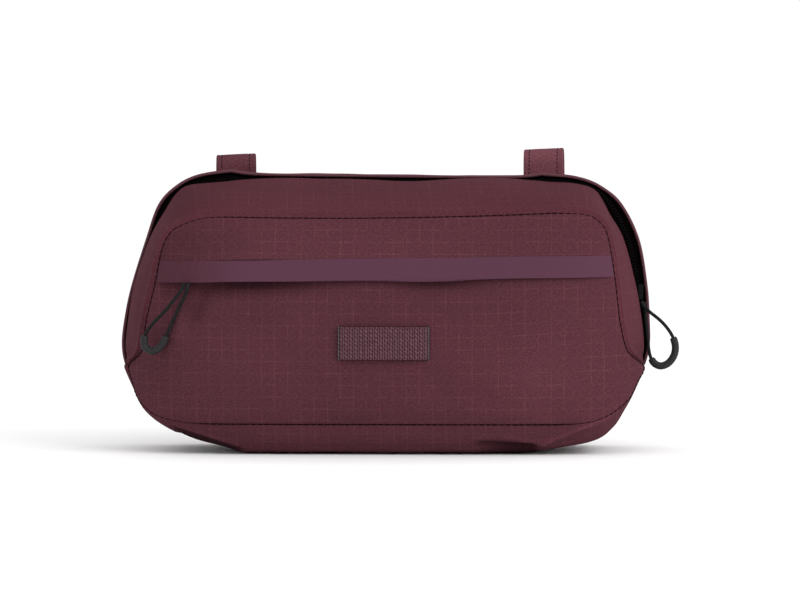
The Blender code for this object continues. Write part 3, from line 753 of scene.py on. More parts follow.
def sew_panel(name, columns, rows, place, relief, pattern=None, thickness=CLOTH, painted_shade=None):
    """A panel of cloth. place(s, t) is its shell, relief(s, t, point) its folds, pattern(point) its UV and
    painted_shade(point) how much painted shade darkens the cloth there, or painted light lightens it below 0."""
    piece, shares = add_grid(name, columns, rows)
    mesh = piece.data
    for vertex, (s, t) in zip(mesh.vertices, shares):
        vertex.co = place(s, t)
    mesh.update()
    normals = [v.normal.copy() for v in mesh.vertices]
    shell = [v.co.copy() for v in mesh.vertices]
    for vertex, normal, (s, t) in zip(mesh.vertices, normals, shares):
        vertex.co += normal * relief(s, t, vertex.co)
    wide = columns + 1
    start = rows // 2 * wide
    across = way_along(shell[start : start + wide])
    along = way_along(shell[columns // 2 :: wide])
    if pattern:
        set_uv(mesh, [pattern(point) for point in shell])
    else:
        set_uv(mesh, [(across[round(s * columns)], along[round(t * rows)]) for s, t in shares])
    # painted shade of each point, kept as an attribute for the cloth's colour
    if painted_shade:
        marks = mesh.attributes.new("painted_shade", "FLOAT", "POINT")
        for mark, point in zip(marks.data, shell):
            mark.value = painted_shade(point)
    if thickness:
        thicken(piece, thickness)
    flat = [round(way[-1] / MM) for way in (across, along)]
    print(name, "is flat", flat[0], "x", flat[1], "mm, with", len(piece.data.polygons), "faces")
    return piece


print("cloth", round(CLOTH / MM, 1), "mm thick")

# %% [markdown]
# ## Pocket panel
# The front is one stitched field. Its lower part is the pocket, which the rider fills, so it is slack at
# its upper edge and sinks in under the flap left of the middle. It could be a flat patch with a normal
# map, but the flap's shadow only falls into a real hollow. Its grid lifts towards the right, where the
# panel is pulled up. Painted shadow darkens the cloth under the flap's edge as well, and a few soft
# patches of painted shade and painted light lie on the pocket.

# %% Pocket panel
POCKET_FOLDS = (
    # line x1, z1, x2, z2; width; height, all in mm
    ((-112.0, 66.0, -104.0, 80.0), 4.0, -1.12),
    ((-94.0, 66.0, -87.0, 82.0), 4.0, -1.44),
    ((-100.0, 58.0, -99.0, 76.0), 3.5, 0.8),
    ((-70.0, 80.0, -20.0, 77.0), 4.0, 0.72),
    ((-80.0, 30.0, -40.0, 40.0), 9.0, -0.64),
    ((30.0, 78.0, 90.0, 70.0), 6.0, 0.64),
    ((60.0, 60.0, 104.0, 68.0), 7.0, -0.72),
    ((30.0, 30.0, 85.0, 24.0), 7.0, -0.8),
    ((-20.0, 22.0, 40.0, 26.0), 6.0, 0.56),
    ((92.0, 20.0, 112.0, 44.0), 5.0, 0.64),
    ((-40.0, 60.0, -30.0, 40.0), 8.0, 0.48),
    ((64.0, 26.0, 72.0, 60.0), 18.0, 1.12),
)
# painted shade near the pull and under the flap, painted light at the lower right
POCKET_PAINTED_SHADES = (
    # painted shade, or painted light below 0: middle x and z, reach along x and z in mm; share darker
    (-92.0, 71.0, 7.0, 7.0, 0.22),
    (-62.0, 70.0, 16.0, 8.0, 0.08),
    (74.0, 36.0, 26.0, 22.0, -0.16),
    (20.0, 74.0, 30.0, 5.0, 0.06),
)
FLAP_HOLLOWS = (
    # middle and reach in mm, share of the full depth
    (-66.0, 36.0, 1.0),
    (28.0, 22.0, 0.7),
)
HOLLOW_DEPTH = 3.0 * MM
HOLLOW_LEAST = 0.5 * MM
HOLLOW_REACH = 7.5 * MM
# painted shadow under the flap's edge: its share and its reach downwards
UNDER_FLAP_PAINTED_SHADOW = 0.44
UNDER_FLAP_SHADOW_REACH = 5.5 * MM
print(len(POCKET_FOLDS), "folds and", len(POCKET_PAINTED_SHADES), "shades on the pocket")

# %% [markdown]
# ## Pocket cloth
# A front panel is laid between two rows of the shell, which may follow the flap's edge, and can be pushed
# forward. The other front panels use the same few functions, so all of them meet along the same rows.

# %% Pocket cloth
PANEL_SHARE = 0.85  # usual width of the front panel as a share of the bag's
GRID_SHIFT = 0.2 * MM
GRID_LIFT = 3.6 * MM  # at the right, in the middle of the pocket's height
GRID_LIFT_FROM = 40 * MM
GRID_LIFT_OVER = 70 * MM
GRID_LIFT_Z = 62 * MM
GRID_LIFT_HALF = 34 * MM


def seam_distance(across, point, top=True, bottom=True):
    """Roughly how far a front point is from the nearest stitched seam."""
    gap = (1 - abs(across)) * PANEL_SHARE * HALF_WIDTH
    if top:
        gap = min(gap, front(across, 1.0).z - point.z)
    if bottom:
        gap = min(gap, point.z - side("seam_z", 0.0) * BAG_HEIGHT)
    return gap


def front_pattern(point):
    """UV of the front cloth: its grid is upright and lifts at the right."""
    to_right = smooth((point.x - GRID_LIFT_FROM) / GRID_LIFT_OVER)
    level = smooth(1 - abs(point.z - GRID_LIFT_Z) / GRID_LIFT_HALF)
    return (point.x + GRID_SHIFT, point.z - GRID_LIFT * to_right * level)


def front_place(low_at, high_at, push):
    """Lays a panel on the front between two rows, given across it, and pushes it forward."""

    def place(s, t):
        across = 2 * crowd(s) - 1
        v = blend(low_at(across), high_at(across), crowd(t, 0.75))
        point = front(across, v)
        point.y -= push(point, across)
        return point

    return place


def base_row(across):
    return 0.0


def under_flap_row(across):
    return row_at_height(flap_edge(across) + POCKET_TUCK)


def no_push(point, across):
    return 0.0


def pocket_relief(s, t, point):
    across = 2 * crowd(s) - 1
    below = max(flap_edge(across) + flap_wave(point.x) - point.z, 0.0)
    sink = HOLLOW_LEAST + HOLLOW_DEPTH * waves(point.x, FLAP_HOLLOWS)
    amount = folds(point, POCKET_FOLDS) + uneven(point, "pocket") - sink * bell(below, HOLLOW_REACH)
    near = seam_distance(across, point, top=False)
    return amount * smooth(near / FADE_IN) - rolled_edge(near, SEAM_ROLL)


# painted shadow under the flap's edge over its hollows, plus the pocket's patches of painted shade and light
def pocket_painted_shade(point):
    below = max(flap_edge(point.x / HALF_WIDTH) - point.z, 0.0)
    under = min(waves(point.x, FLAP_HOLLOWS), 1.0)
    return UNDER_FLAP_PAINTED_SHADOW * under * bell(below, UNDER_FLAP_SHADOW_REACH) + painted_shade_patches(point, POCKET_PAINTED_SHADES)


pocket = sew_panel(
    "pocket_cloth", 200, 64, front_place(base_row, under_flap_row, no_push), pocket_relief, front_pattern,
    painted_shade=pocket_painted_shade,
)
finish_piece(pocket, FRONT_CLOTH, "pocket_panel")

# %% [markdown]
# ## Flap and its tape
# The upper part of the front is the pocket's flap. A strip of tape is bonded over its lower edge to keep
# rain out of the zip, and the edge hangs free, a little proud of the pocket and slightly wavy. Flap and
# tape are two grids that share the same place and the same unevenness, so the tape lies on the flap's
# cloth as if it were glued.

# %% Flap and its tape
FLAP_FOLDS = (
    # line x1, z1, x2, z2; width; height, all in mm
    ((-96.0, 100.0, -60.0, 113.0), 5.0, -0.56),
    ((-20.0, 104.0, 60.0, 108.0), 5.0, -0.48),
    ((66.0, 112.0, 100.0, 102.0), 5.0, 0.48),
    ((-66.0, 92.0, -60.0, 113.0), 15.0, 0.96),
)
# painted shade darkens the flap's left end and painted light lightens its middle
FLAP_PAINTED_SHADES = (
    # painted shade, or painted light below 0: middle x and z, reach along x and z in mm; share darker
    (-100.0, 104.0, 22.0, 16.0, 0.20),
    (0.0, 103.0, 50.0, 12.0, -0.10),
)
TAPE_PROUD = 0.25 * MM
TAPE_LOW_ROLL = 0.45 * MM
TAPE_HIGH_ROLL = 0.25 * MM
TAPE_FADE = 4 * MM
FLAP_ROW = 0.6  # place on the side near the flap's edge


def top_row(across):
    return 1.0


def flap_row(across):
    x = across * side("seam_x", FLAP_ROW) * HALF_WIDTH
    return row_at_height(flap_edge(across) + flap_wave(x))


def tape_row(across):
    return row_at_height(flap_edge(across) + TAPE_HEIGHT)


def flap_relief(s, t, point):
    near = seam_distance(2 * crowd(s) - 1, point, bottom=False)
    amount = folds(point, FLAP_FOLDS) + uneven(point, "flap")
    return amount * smooth(near / FADE_IN) - rolled_edge(near, SEAM_ROLL)


# painted shade and painted light on the flap
def flap_painted_shade(point):
    return painted_shade_patches(point, FLAP_PAINTED_SHADES)


def tape_relief(s, t, point):
    across = 2 * crowd(s) - 1
    near = seam_distance(across, point, top=False, bottom=False)
    above_edge = point.z - flap_edge(across)
    edges = rolled_edge(above_edge, TAPE_LOW_ROLL) + rolled_edge(TAPE_HEIGHT - above_edge, TAPE_HIGH_ROLL)
    amount = TAPE_PROUD + uneven(point, "flap")
    return amount * smooth(near / TAPE_FADE) - rolled_edge(near, SEAM_ROLL) - edges


flap = sew_panel(
    "flap_cloth", 200, 26, front_place(tape_row, top_row, flap_push), flap_relief, front_pattern,
    painted_shade=flap_painted_shade,
)
finish_piece(flap, FRONT_CLOTH, "front_upper")
tape = sew_panel(
    "flap_tape_film", 200, 14, front_place(flap_row, tape_row, flap_push), tape_relief, front_pattern
)
finish_piece(tape, TAPE_FILM, "flap_tape")

# %% [markdown]
# ## Front gusset
# A gusset is the band that gives a bag its depth. This one runs from the front seam over the top and down
# both sides to the zip. The seam allowances inside make a soft ridge beside the seam with a hollow behind
# it, and the band's free rim is slack: it hangs and rises in a few waves, which open and close the dark
# slit of the zip.

# %% Front gusset
# painted shade near the zip at the top left and on the left side, painted light on the right side and beside
# the seam
GUSSET_PAINTED_SHADES = (
    # painted shade, or painted light below 0: middle x and z, reach along x and z in mm; share darker
    (-96.0, 126.0, 14.0, 8.0, 0.16),
    (-20.0, 131.0, 46.0, 4.0, 0.07),
    (70.0, 128.0, 26.0, 4.0, 0.02),
    (0.0, 122.0, 90.0, 3.0, -0.05),
    (-120.0, 70.0, 8.0, 30.0, 0.08),
    (122.0, 72.0, 8.0, 34.0, -0.12),
)
RIM_DROPS = (
    # middle, reach and drop in mm
    (-82.0, 16.0, 1.0),
    (-47.0, 12.0, -0.4),
    (10.0, 22.0, 1.2),
    (58.0, 12.0, -0.5),
    (80.0, 16.0, 1.2),
)
RIM_RISE = 0.35 * MM
RIM_ROLL = 0.8 * MM
RIM_FADE = 8 * MM
TOP_Z = 118 * MM  # above this height the rim hangs in waves
SHOULDER_PULL = 2.2 * MM  # how far the slack rim is drawn in at the right shoulder
SHOULDER = (1.80, 0.11)  # place and reach of that pull on the outline
BAND_RIDGES = (
    # way from the front seam, reach and height in mm
    (5.5, 2.6, 0.9),  # over the seam allowance
    (16.0, 6.0, -1.2),  # the hollow behind it
)
GUSSET_FADE = 5 * MM
BAND_LENGTH = 420 * MM
ZIP_A = 1 + ZIP_END
END_A = 4 - ZIP_END


def around(first, last, s, strength=0.0):
    """Outward-facing grids run along an outline from its last place to its first."""
    return blend(last, first, crowd(s, strength))


def rim_wave(x):
    """How far the slack rim hangs below its line at x, along the top."""
    return waves(x, RIM_DROPS) * MM - RIM_RISE


def gusset_place(s, t):
    a = around(ZIP_A, END_A, s)
    share = crowd(t)
    point = gusset(a, share)
    far = smooth((share - 0.4) / 0.6)
    point.z -= rim_wave(point.x) * far * smooth((point.z - TOP_Z) / (8 * MM))
    middle, reach = SHOULDER
    return point + inward("rim", a) * SHOULDER_PULL * far * bell(a - middle, reach)


def gusset_relief(s, t, point):
    a = around(ZIP_A, END_A, s)
    whole = (gusset(a, 1.0) - gusset(a, 0.0)).length
    reach = whole * crowd(t)
    ends = min(s, 1 - s) * BAND_LENGTH
    amount = uneven(point, "front_gusset") + waves(reach, BAND_RIDGES) * MM
    amount *= smooth(reach / GUSSET_FADE) * blend(0.4, 1.0, smooth((whole - reach) / RIM_FADE))
    edges = rolled_edge(reach, SEAM_ROLL) + rolled_edge(whole - reach, RIM_ROLL) + rolled_edge(ends, END_ROLL)
    return amount * smooth(ends / FADE_IN) - edges


# painted shade and painted light on the front gusset
def gusset_painted_shade(point):
    return painted_shade_patches(point, GUSSET_PAINTED_SHADES)


front_band = sew_panel("front_gusset_cloth", 300, 34, gusset_place, gusset_relief, painted_shade=gusset_painted_shade)
finish_piece(front_band, GUSSET_CLOTH, "front_gusset")

# %% [markdown]
# ## Rear gusset
# The second band runs from the back panel forwards and ends in a lip that hangs over the zip like a small
# roof. It is stiffer than the front one, so it shows much less unevenness.

# %% Rear gusset
LIP_ROLL = 0.3 * MM
BACK_ROLL = 0.9 * MM
REAR_FADE = 4 * MM


def rear_place(s, t):
    return to_back(around(ZIP_A, END_A, s), crowd(t), BACK_Y - LIP_FROM_BACK)


def rear_relief(s, t, point):
    reach = crowd(t) * LIP_FROM_BACK
    rest = LIP_FROM_BACK - reach
    ends = min(s, 1 - s) * BAND_LENGTH
    amount = uneven(point, "rear_gusset") * smooth(reach / REAR_FADE) * smooth(rest / REAR_FADE)
    edges = rolled_edge(reach, LIP_ROLL) + rolled_edge(rest, BACK_ROLL) + rolled_edge(ends, END_ROLL)
    return amount * smooth(ends / FADE_IN) - edges


rear_band = sew_panel("rear_gusset_cloth", 300, 26, rear_place, rear_relief)
finish_piece(rear_band, GUSSET_CLOTH, "rear_gusset")

# %% [markdown]
# ## Base
# Base and lower corners are one wrapped panel, so water has no seam to run into. Standing full, it
# buckles at both lower corners: at the left the cloth turns under along one crease, and at the right two
# folds meet. The panel's grid runs from the front seam down, under the bag and up to the back panel.

# %% Base
BASE_FOLDS = (
    # line x1, z1, x2, z2; width; height, all in mm
    ((79.0, 5.6, 109.0, 18.0), 1.5, 0.9),
    ((46.0, 8.0, 60.0, 8.8), 1.6, 0.7),
    ((60.0, 8.8, 80.0, 5.4), 1.4, 1.0),
    ((50.0, 4.4, 74.0, 3.6), 2.4, -2.4),
    ((88.0, 6.0, 102.0, 11.0), 2.0, -0.5),
    ((-101.0, 13.4, -72.0, 4.6), 1.2, 0.5),
    ((-100.0, 9.4, -76.0, 2.6), 1.8, -0.8),
    ((-60.0, 8.0, 40.0, 7.0), 5.0, 0.3),
)
# painted shade: the underside turning away at the lower left and the fold at the lower right
BASE_PAINTED_SHADES = (
    # painted shade below each line: line x1, z1, x2, z2 and softness in mm; share of the line it sets in
    # over; share darker
    ((-107.0, 15.4, -67.0, 3.0), 0.8, 0.2, 0.70),
    ((42.0, 8.2, 79.0, 4.8), 1.8, 0.6, 0.62),
)
BASE_CREASE_HIGHLIGHT = ((79.5, 5.8, 112.0, 19.0), 0.9, -0.28)  # painted highlight along the crease: line, width and share darker, below 0 so it is lighter
BASE_FRONT = 0.55  # share of the panel's rows in front of the flat base
BASE_FADE = 4 * MM
FLOOR_FADE = 1.5 * MM
BASE_LENGTH = 330 * MM


def base_place(s, t):
    a = around(-ZIP_END, 1 + ZIP_END, s)
    t = crowd(t, 0.5)
    edge_y = BACK_Y - base_turn(a)
    if t < BASE_FRONT:
        return from_seam(a, t / BASE_FRONT, BASE_PROFILE, "lip", edge_y)
    return to_back(a, (t - BASE_FRONT) / (1 - BASE_FRONT), edge_y)


def base_relief(s, t, point):
    a = around(-ZIP_END, 1 + ZIP_END, s)
    reach = (base_place(s, t) - outline("seam", a % 4.0)).length
    ends = min(s, 1 - s) * BASE_LENGTH
    amount = uneven(point, "base")
    if point.y < 0:
        amount += folds(point, BASE_FOLDS)
    amount *= smooth(reach / BASE_FADE) * smooth(point.z / FLOOR_FADE)
    edges = rolled_edge(reach, SEAM_ROLL) + rolled_edge(BACK_Y - point.y, BACK_ROLL)
    return amount * smooth(ends / FADE_IN) - edges - rolled_edge(ends, END_ROLL)


# painted shade below the corner folds and a painted highlight along the right crease
def base_painted_shade(point):
    if point.y > 0:
        return 0.0
    total = fold(point.x, point.z, *BASE_CREASE_HIGHLIGHT)
    for line, soft, fade, share in BASE_PAINTED_SHADES:
        total += share * under_line(point.x, point.z, line, soft, fade)
    return total


base = sew_panel("base_cloth", 260, 90, base_place, base_relief, lambda p: (p.x, p.z - p.y), painted_shade=base_painted_shade)
finish_piece(base, FRONT_CLOTH, "bottom_panel")

# %% [markdown]
# ## Back panel
# The back lies against the bar and is kept flat by a stiff board. It is one grid between the lower and
# the upper half of the outline, sunk by a third of a millimetre inside its seam.

# %% Back panel
BACK_SINK = 0.3 * MM
BACK_FADE = 8 * MM
BACK_SIZE = (240 * MM, 120 * MM)


def outline_edge(s, low):
    """A point of the back panel's edge on its lower or upper half, at the same share across."""
    share = crowd(s, 0.5)
    a = blend(-0.5, 1.5, 1 - share) if low else blend(1.5, 3.5, share)
    return outline("lip", a) + inward("lip", a) * BACK_ROUND


def back_place(s, t):
    """The back panel, drawn from its lower edge to its upper one."""
    lower, upper = outline_edge(s, low=True), outline_edge(s, low=False)
    point = lower.lerp(upper, crowd(t, 0.5))
    point.y = BACK_Y
    return point


def back_relief(s, t, point):
    gap = min(min(s, 1 - s) * BACK_SIZE[0], min(t, 1 - t) * BACK_SIZE[1])
    return (uneven(point, "back") - BACK_SINK) * smooth(gap / BACK_FADE)


back = sew_panel("back_cloth", 120, 70, back_place, back_relief, lambda p: (p.x, p.z))
finish_piece(back, FRONT_CLOTH, "back_panel")

# %% [markdown]
# ## Stitches
# The front seam is sewn with a thick dark thread, about three stitches to the centimetre. Each stitch is
# a small bead of thread that dips into the cloth at both ends. A bump map could draw them, but real beads
# catch the light at the bag's edge. One small shape is laid at every place, turned along its seam.

# %% Stitches
STITCH_PITCH = 3.3 * MM
STITCH_SIZE = (2.9 * MM, 0.75 * MM, 0.6 * MM)
STITCH_SINK = 0.25 * MM
SEAM_STEPS = 600
SEAM_FACING = 0.45  # how far the stitches turn outwards from the front


def stitch_shape(length, width, height):
    """One stitch along X: a sphere of few faces, drawn out."""
    bpy.ops.object.select_all(action="DESELECT")
    bpy.ops.mesh.primitive_uv_sphere_add(segments=6, ring_count=4, radius=0.5)
    piece = bpy.context.object
    bpy.ops.object.mode_set(mode="EDIT")
    bpy.ops.mesh.select_all(action="SELECT")
    bpy.ops.transform.rotate(value=math.pi / 2, orient_axis="Y", center_override=(0, 0, 0))
    bpy.ops.transform.resize(value=(length, width, height), center_override=(0, 0, 0))
    bpy.ops.object.mode_set(mode="OBJECT")
    mesh = piece.data
    bpy.data.objects.remove(piece)
    return mesh


def walk(points, pitch):
    """Places every pitch along a line of points: place, direction and the index of the stretch."""
    spots, left = [], pitch / 2
    for k in range(len(points) - 1):
        a, b = points[k], points[k + 1]
        length = (b - a).length
        while left <= length:
            spots.append((a.lerp(b, left / length), (b - a).normalized(), k))
            left += pitch
        left -= length
    return spots


def lay(name, shape, spots, finish):
    """Lays a copy of a small shape at each spot: place, direction along X, direction that faces out."""
    mesh = bmesh.new()
    for place, along, out in spots:
        start = len(mesh.verts)
        mesh.from_mesh(shape)
        across = out.cross(along).normalized()
        up = along.cross(across)
        turn = Matrix((along, across, up)).transposed().to_4x4()
        mesh.verts.ensure_lookup_table()
        bmesh.ops.transform(mesh, matrix=Matrix.Translation(place) @ turn, verts=mesh.verts[start:])
    data = bpy.data.meshes.new(name)
    mesh.to_mesh(data)
    mesh.free()
    piece = bpy.data.objects.new(name, data)
    bpy.context.scene.collection.objects.link(piece)
    return finish_piece(piece, finish)


def seam_spots():
    """Places of the stitches all round the front seam."""
    line = [outline("seam", 4.0 * k / SEAM_STEPS) for k in range(SEAM_STEPS + 1)]
    spots = []
    for place, along, k in walk(line, STITCH_PITCH):
        sideways = inward("seam", 4.0 * k / SEAM_STEPS) * SEAM_FACING
        out = (Vector((0, -1, 0)) - sideways).normalized()
        spots.append((place - out * STITCH_SINK, along, out))
    return spots


seam_stitches = seam_spots()
lay("front_seam_stitches", stitch_shape(*STITCH_SIZE), seam_stitches, SEAM_THREAD)
print(len(seam_stitches), "stitches in the front seam")

# %% [markdown]
# ## Webbing tab
# A short piece of webbing is sewn down at both ends to hold a light's clip. It is woven in upright cords,
# thin ones between thick plaited ones, so each thick cord shows a row of small hollows. The weave is
# raised from a fine grid, because the light falls across it and a flat picture of a weave would show no
# depth.

# %% Webbing tab
TAB_GRID = (200, 76)
TAB_WIDTH = 45 * MM
TAB_HEIGHT = 16.8 * MM
TAB_X = 1.4 * MM
TAB_Z = 55.6 * MM
TAB_CORE = 1.3 * MM  # thickness below the weave
TAB_BOW = 0.9 * MM
TAB_ROLL = 0.8 * MM
TAB_PRESS = 0.7 * MM  # how far its sewn ends are pressed in
TAB_SEWN = 2.2 * MM  # length of each sewn end
SEAM_GAP = 0.3 * MM  # between two pieces that are sewn together
WEAVE_RISE = 0.45 * MM
CORD_PITCH = 2.45 * MM  # from one thick cord to the next
ROW_PITCH = 2.05 * MM  # from one hollow up to the next
THIN_CORD = 0.2  # place of the thin cord on one pitch
THIN_REACH = 0.10
THICK_REACH = 0.24
PLAIT_LEAN = 0.9
WEAVE_SHADE_TOP = 0.55  # height of the weave below which painted shade darkens the cloth


def tab_place(s, t):
    x = TAB_X + (s - 0.5) * TAB_WIDTH
    z = TAB_Z + (t - 0.5) * TAB_HEIGHT
    point = front_at(x, z)
    point.y -= SEAM_GAP + TAB_BOW * (1 - (2 * s - 1) ** 4) + TAB_CORE
    return point


def weave_height(s, t):
    """Height of the webbing's weave from 0 to 1."""
    place = s * TAB_WIDTH / CORD_PITCH
    row = t * TAB_HEIGHT / ROW_PITCH
    from_thick = (place - THIN_CORD) % 1.0 - 0.5
    plait = 0.5 + 0.5 * math.cos(2 * math.pi * (row + PLAIT_LEAN * from_thick))
    thin = bell(place % 1.0 - THIN_CORD, THIN_REACH) * (0.75 + 0.15 * plait)
    thick = bell(from_thick, THICK_REACH) * (0.25 + 0.75 * plait)
    return max(thin, thick)


def tab_relief(s, t, point):
    edge = min(t, 1 - t) * TAB_HEIGHT
    ends = min(s, 1 - s) * TAB_WIDTH
    pressed = TAB_PRESS * (1 - smooth(ends / TAB_SEWN))
    return WEAVE_RISE * weave_height(s, t) - rolled_edge(edge, TAB_ROLL) - pressed


def mark_painted_weave_shade(mesh, columns, rows):
    """Marks painted shade in the hollows of the weave and a thin painted shadow along its selvedge."""
    marks = mesh.attributes.new("weave_painted_shade", "FLOAT", "POINT")
    for k, mark in enumerate(marks.data):
        s, t = k % (columns + 1) / columns, k // (columns + 1) / rows
        selvedge = 1 - smooth((min(t, 1 - t) * TAB_HEIGHT - 0.25 * MM) / (0.35 * MM))
        mark.value = max(1 - smooth(weave_height(s, t) / WEAVE_SHADE_TOP), selvedge)


tab = sew_panel("webbing_tab_cloth", *TAB_GRID, tab_place, tab_relief, thickness=0)
mark_painted_weave_shade(tab.data, *TAB_GRID)
thicken(tab, TAB_CORE)
finish_piece(tab, WEBBING, "webbing_tab")

# %% [markdown]
# ## Bar tacks
# Each end of the tab is held by a bar tack, a dense zigzag in a grey thread. The same bead as in the
# front seam is laid up each end, leaning to one side and then to the other.

# %% Bar tacks
TACKS = 17
TACK_PLACE = 0.488  # share of the tab's width from its middle
TACK_LEAN = 0.4
TACK_SIZE = (1.3 * MM, 0.55 * MM, 0.5 * MM)


def tack_spots():
    spots = []
    for end in (-1, 1):
        for k in range(TACKS):
            lean = TACK_LEAN if k % 2 else -TACK_LEAN
            place = tab_place(0.5 + end * TACK_PLACE, (k + 0.5) / TACKS) + Vector((0, 0.05 * MM, 0))
            spots.append((place, Vector((lean, 0, 1)).normalized(), Vector((0, -1, 0))))
    return spots


lay("tab_stitches", stitch_shape(*TACK_SIZE), tack_spots(), TAB_THREAD)
print(TACKS, "stitches at each end of the tab")

# %% [markdown]
# ## Handlebar loops
# Each loop is a strip of the same cloth, folded double, topstitched along both edges and closed round a
# 32 mm bar. Cloth that hangs free could be simulated. These loops are stiff, though, and stand up by
# themselves, so an outline of arcs carries the strip, and a narrow groove shows where the thread draws
# the cloth in.

# %% Handlebar loops
STRAP_COLUMNS = 16
STRAP_WIDTH = 20 * MM
STRAP_THICKNESS = 2.0 * MM
STRAP_BORE = 33 * MM
STRAP_CORNER = 8 * MM
STRAP_ROLL = 0.5 * MM
STRAPS = {"strap_left": (-77.7 * MM, 148.2 * MM), "strap_right": (79.3 * MM, 151.0 * MM)}
STRAP_LEAN = 0.9 * MM  # how much higher each loop's right edge stands than its left one
STRAP_SWAY = {"strap_left": -1.9 * MM, "strap_right": 1.2 * MM}  # sideways way of each loop's far side
TOPSTITCH_IN = 2.9 * MM  # way of the topstitching from the edge
GROOVE = 0.22 * MM
GROOVE_REACH = 0.5 * MM


def arc(middle, radius, start, end, count):
    angles = [math.radians(blend(start, end, k / (count - 1))) for k in range(count)]
    return [(middle[0] + radius * math.cos(t), middle[1] + radius * math.sin(t)) for t in angles]


def loop_outline(height, radius, corner):
    """Outline of a handlebar loop seen from its side: round behind, flat with two small corners in front."""
    middle = SEAM_GAP + STRAP_THICKNESS + STRAP_BORE / 2
    near = middle - radius + corner
    points = arc((middle, height), radius, -90, 90, 25)
    points += arc((near, height + radius - corner), corner, 90, 180, 9)
    points += arc((near, height - radius + corner), corner, 180, 270, 9)
    return points


def sway(node, u):
    """Sideways place of a loop at this distance behind the back panel."""
    return STRAP_SWAY[node] * u / (STRAP_BORE + 2 * STRAP_THICKNESS)


def bore_height(node):
    return STRAPS[node][1] - STRAP_THICKNESS - STRAP_BORE / 2


def strap_point(node, share, u, w):
    """A point of a loop, share from -0.5 to 0.5 across it, u behind the back panel and w above the floor."""
    tilt = STRAP_LEAN * share * smooth((w - bore_height(node)) / (10 * MM))
    x = STRAPS[node][0] + share * STRAP_WIDTH + sway(node, u)
    return Vector((x, BACK_Y + u, w + tilt))


def close_ring(mesh):
    """Sews the two ends of a strip together."""
    bpy.ops.object.mode_set(mode="EDIT")
    bpy.ops.mesh.select_all(action="SELECT")
    bpy.ops.mesh.remove_doubles(threshold=0.01 * MM)
    bpy.ops.mesh.normals_make_consistent(inside=False)
    bpy.ops.object.mode_set(mode="OBJECT")
    mesh.update()


def strap_loop(name, node):
    ring = loop_outline(bore_height(node), STRAP_BORE / 2 + STRAP_THICKNESS, STRAP_CORNER)
    count = len(ring)
    lengths = [0.0]
    for a, b in zip(ring, ring[1:] + ring[:1]):
        lengths.append(lengths[-1] + math.dist(a, b))
    piece, shares = add_grid(name, STRAP_COLUMNS, count)
    mesh = piece.data
    set_uv(mesh, [(s * STRAP_WIDTH, lengths[round(t * count)]) for s, t in shares])
    for vertex, (s, t) in zip(mesh.vertices, shares):
        vertex.co = strap_point(node, crowd(s, 0.7) - 0.5, *ring[round(t * count) % count])
    close_ring(mesh)
    normals = [v.normal.copy() for v in mesh.vertices]
    for vertex, normal in zip(mesh.vertices, normals):
        edge = STRAP_WIDTH / 2 - abs(vertex.co.x - STRAPS[node][0] - sway(node, vertex.co.y - BACK_Y))
        groove = GROOVE * bell(edge - TOPSTITCH_IN, GROOVE_REACH)
        vertex.co += normal * (uneven(vertex.co, "strap") - rolled_edge(edge, STRAP_ROLL) - groove)
    thicken(piece, STRAP_THICKNESS - 0.2 * MM)
    # each loop takes its own copy of the cloth, lighter or darker as painted light and shade
    finish_piece(piece, STRAP_CLOTHS_PAINTED_LIGHT[node], node)
    print(name, "is", round(lengths[-1] / MM, 1), "mm round")
    return ring


for node in STRAPS:
    print(node, "has its bore", round(bore_height(node) / MM, 1), "mm above the floor")

# %% [markdown]
# ## Topstitching of the loops
# Two rows of small stitches run round each loop, 3 mm from its edges, and keep the folded cloth flat.
# They lie in the grooves of the strip, turned outwards from the bore's middle. Each loop is made and then
# stitched.

# %% Topstitching of the loops
TOPSTITCH_PITCH = 1.95 * MM
TOPSTITCH_SIZE = (1.4 * MM, 0.5 * MM, 0.45 * MM)
TOPSTITCH_SINK = 0.12 * MM


def strap_stitches(name, node, ring):
    bore = Vector((0, BACK_Y + SEAM_GAP + STRAP_THICKNESS + STRAP_BORE / 2, bore_height(node)))
    spots = []
    for way in (-1, 1):
        share = way * (0.5 - TOPSTITCH_IN / STRAP_WIDTH)
        line = [strap_point(node, share, u, w) for u, w in ring + ring[:1]]
        for place, along, k in walk(line, TOPSTITCH_PITCH):
            out = Vector((0, place.y - bore.y, place.z - bore.z)).normalized()
            out = (out - along * out.dot(along)).normalized()
            spots.append((place - out * TOPSTITCH_SINK, along, out))
    lay(name, stitch_shape(*TOPSTITCH_SIZE), spots, SEAM_THREAD)


for node in STRAPS:
    strap_stitches(node + "_stitches", node, strap_loop(node + "_cloth", node))

# %% [markdown]
# ## Main zip
# The main zip lies in the slit between the two gussets, under the lip: a black woven tape with a nylon
# coil along its middle. Only a dark strip of it shows. Still the tape goes all the way from under one
# gusset to under the other, so nobody can look past it, and small beads to the left and right of its
# middle stand for the coil.

# %% Main zip
ZIP_TUCK = 2.5 * MM
ZIP_ROWS = (
    # outline, way in front of the back panel, way inwards from the outline
    ("rim", RIM_FROM_BACK + ZIP_TUCK, 3.9 * MM),
    ("rim", RIM_FROM_BACK, 2.4 * MM),
    ("lip", LIP_FROM_BACK, 2.4 * MM),
    ("lip", LIP_FROM_BACK - ZIP_TUCK, 2.0 * MM),
)
ZIP_THICKNESS = 0.9 * MM
COIL_STEPS = 500
COIL_PITCH = 0.75 * MM
COIL_SIDE = 0.7 * MM
COIL_PROUD = 0.25 * MM
COIL_SIZE = (2.2 * MM, 0.7 * MM, 0.9 * MM)


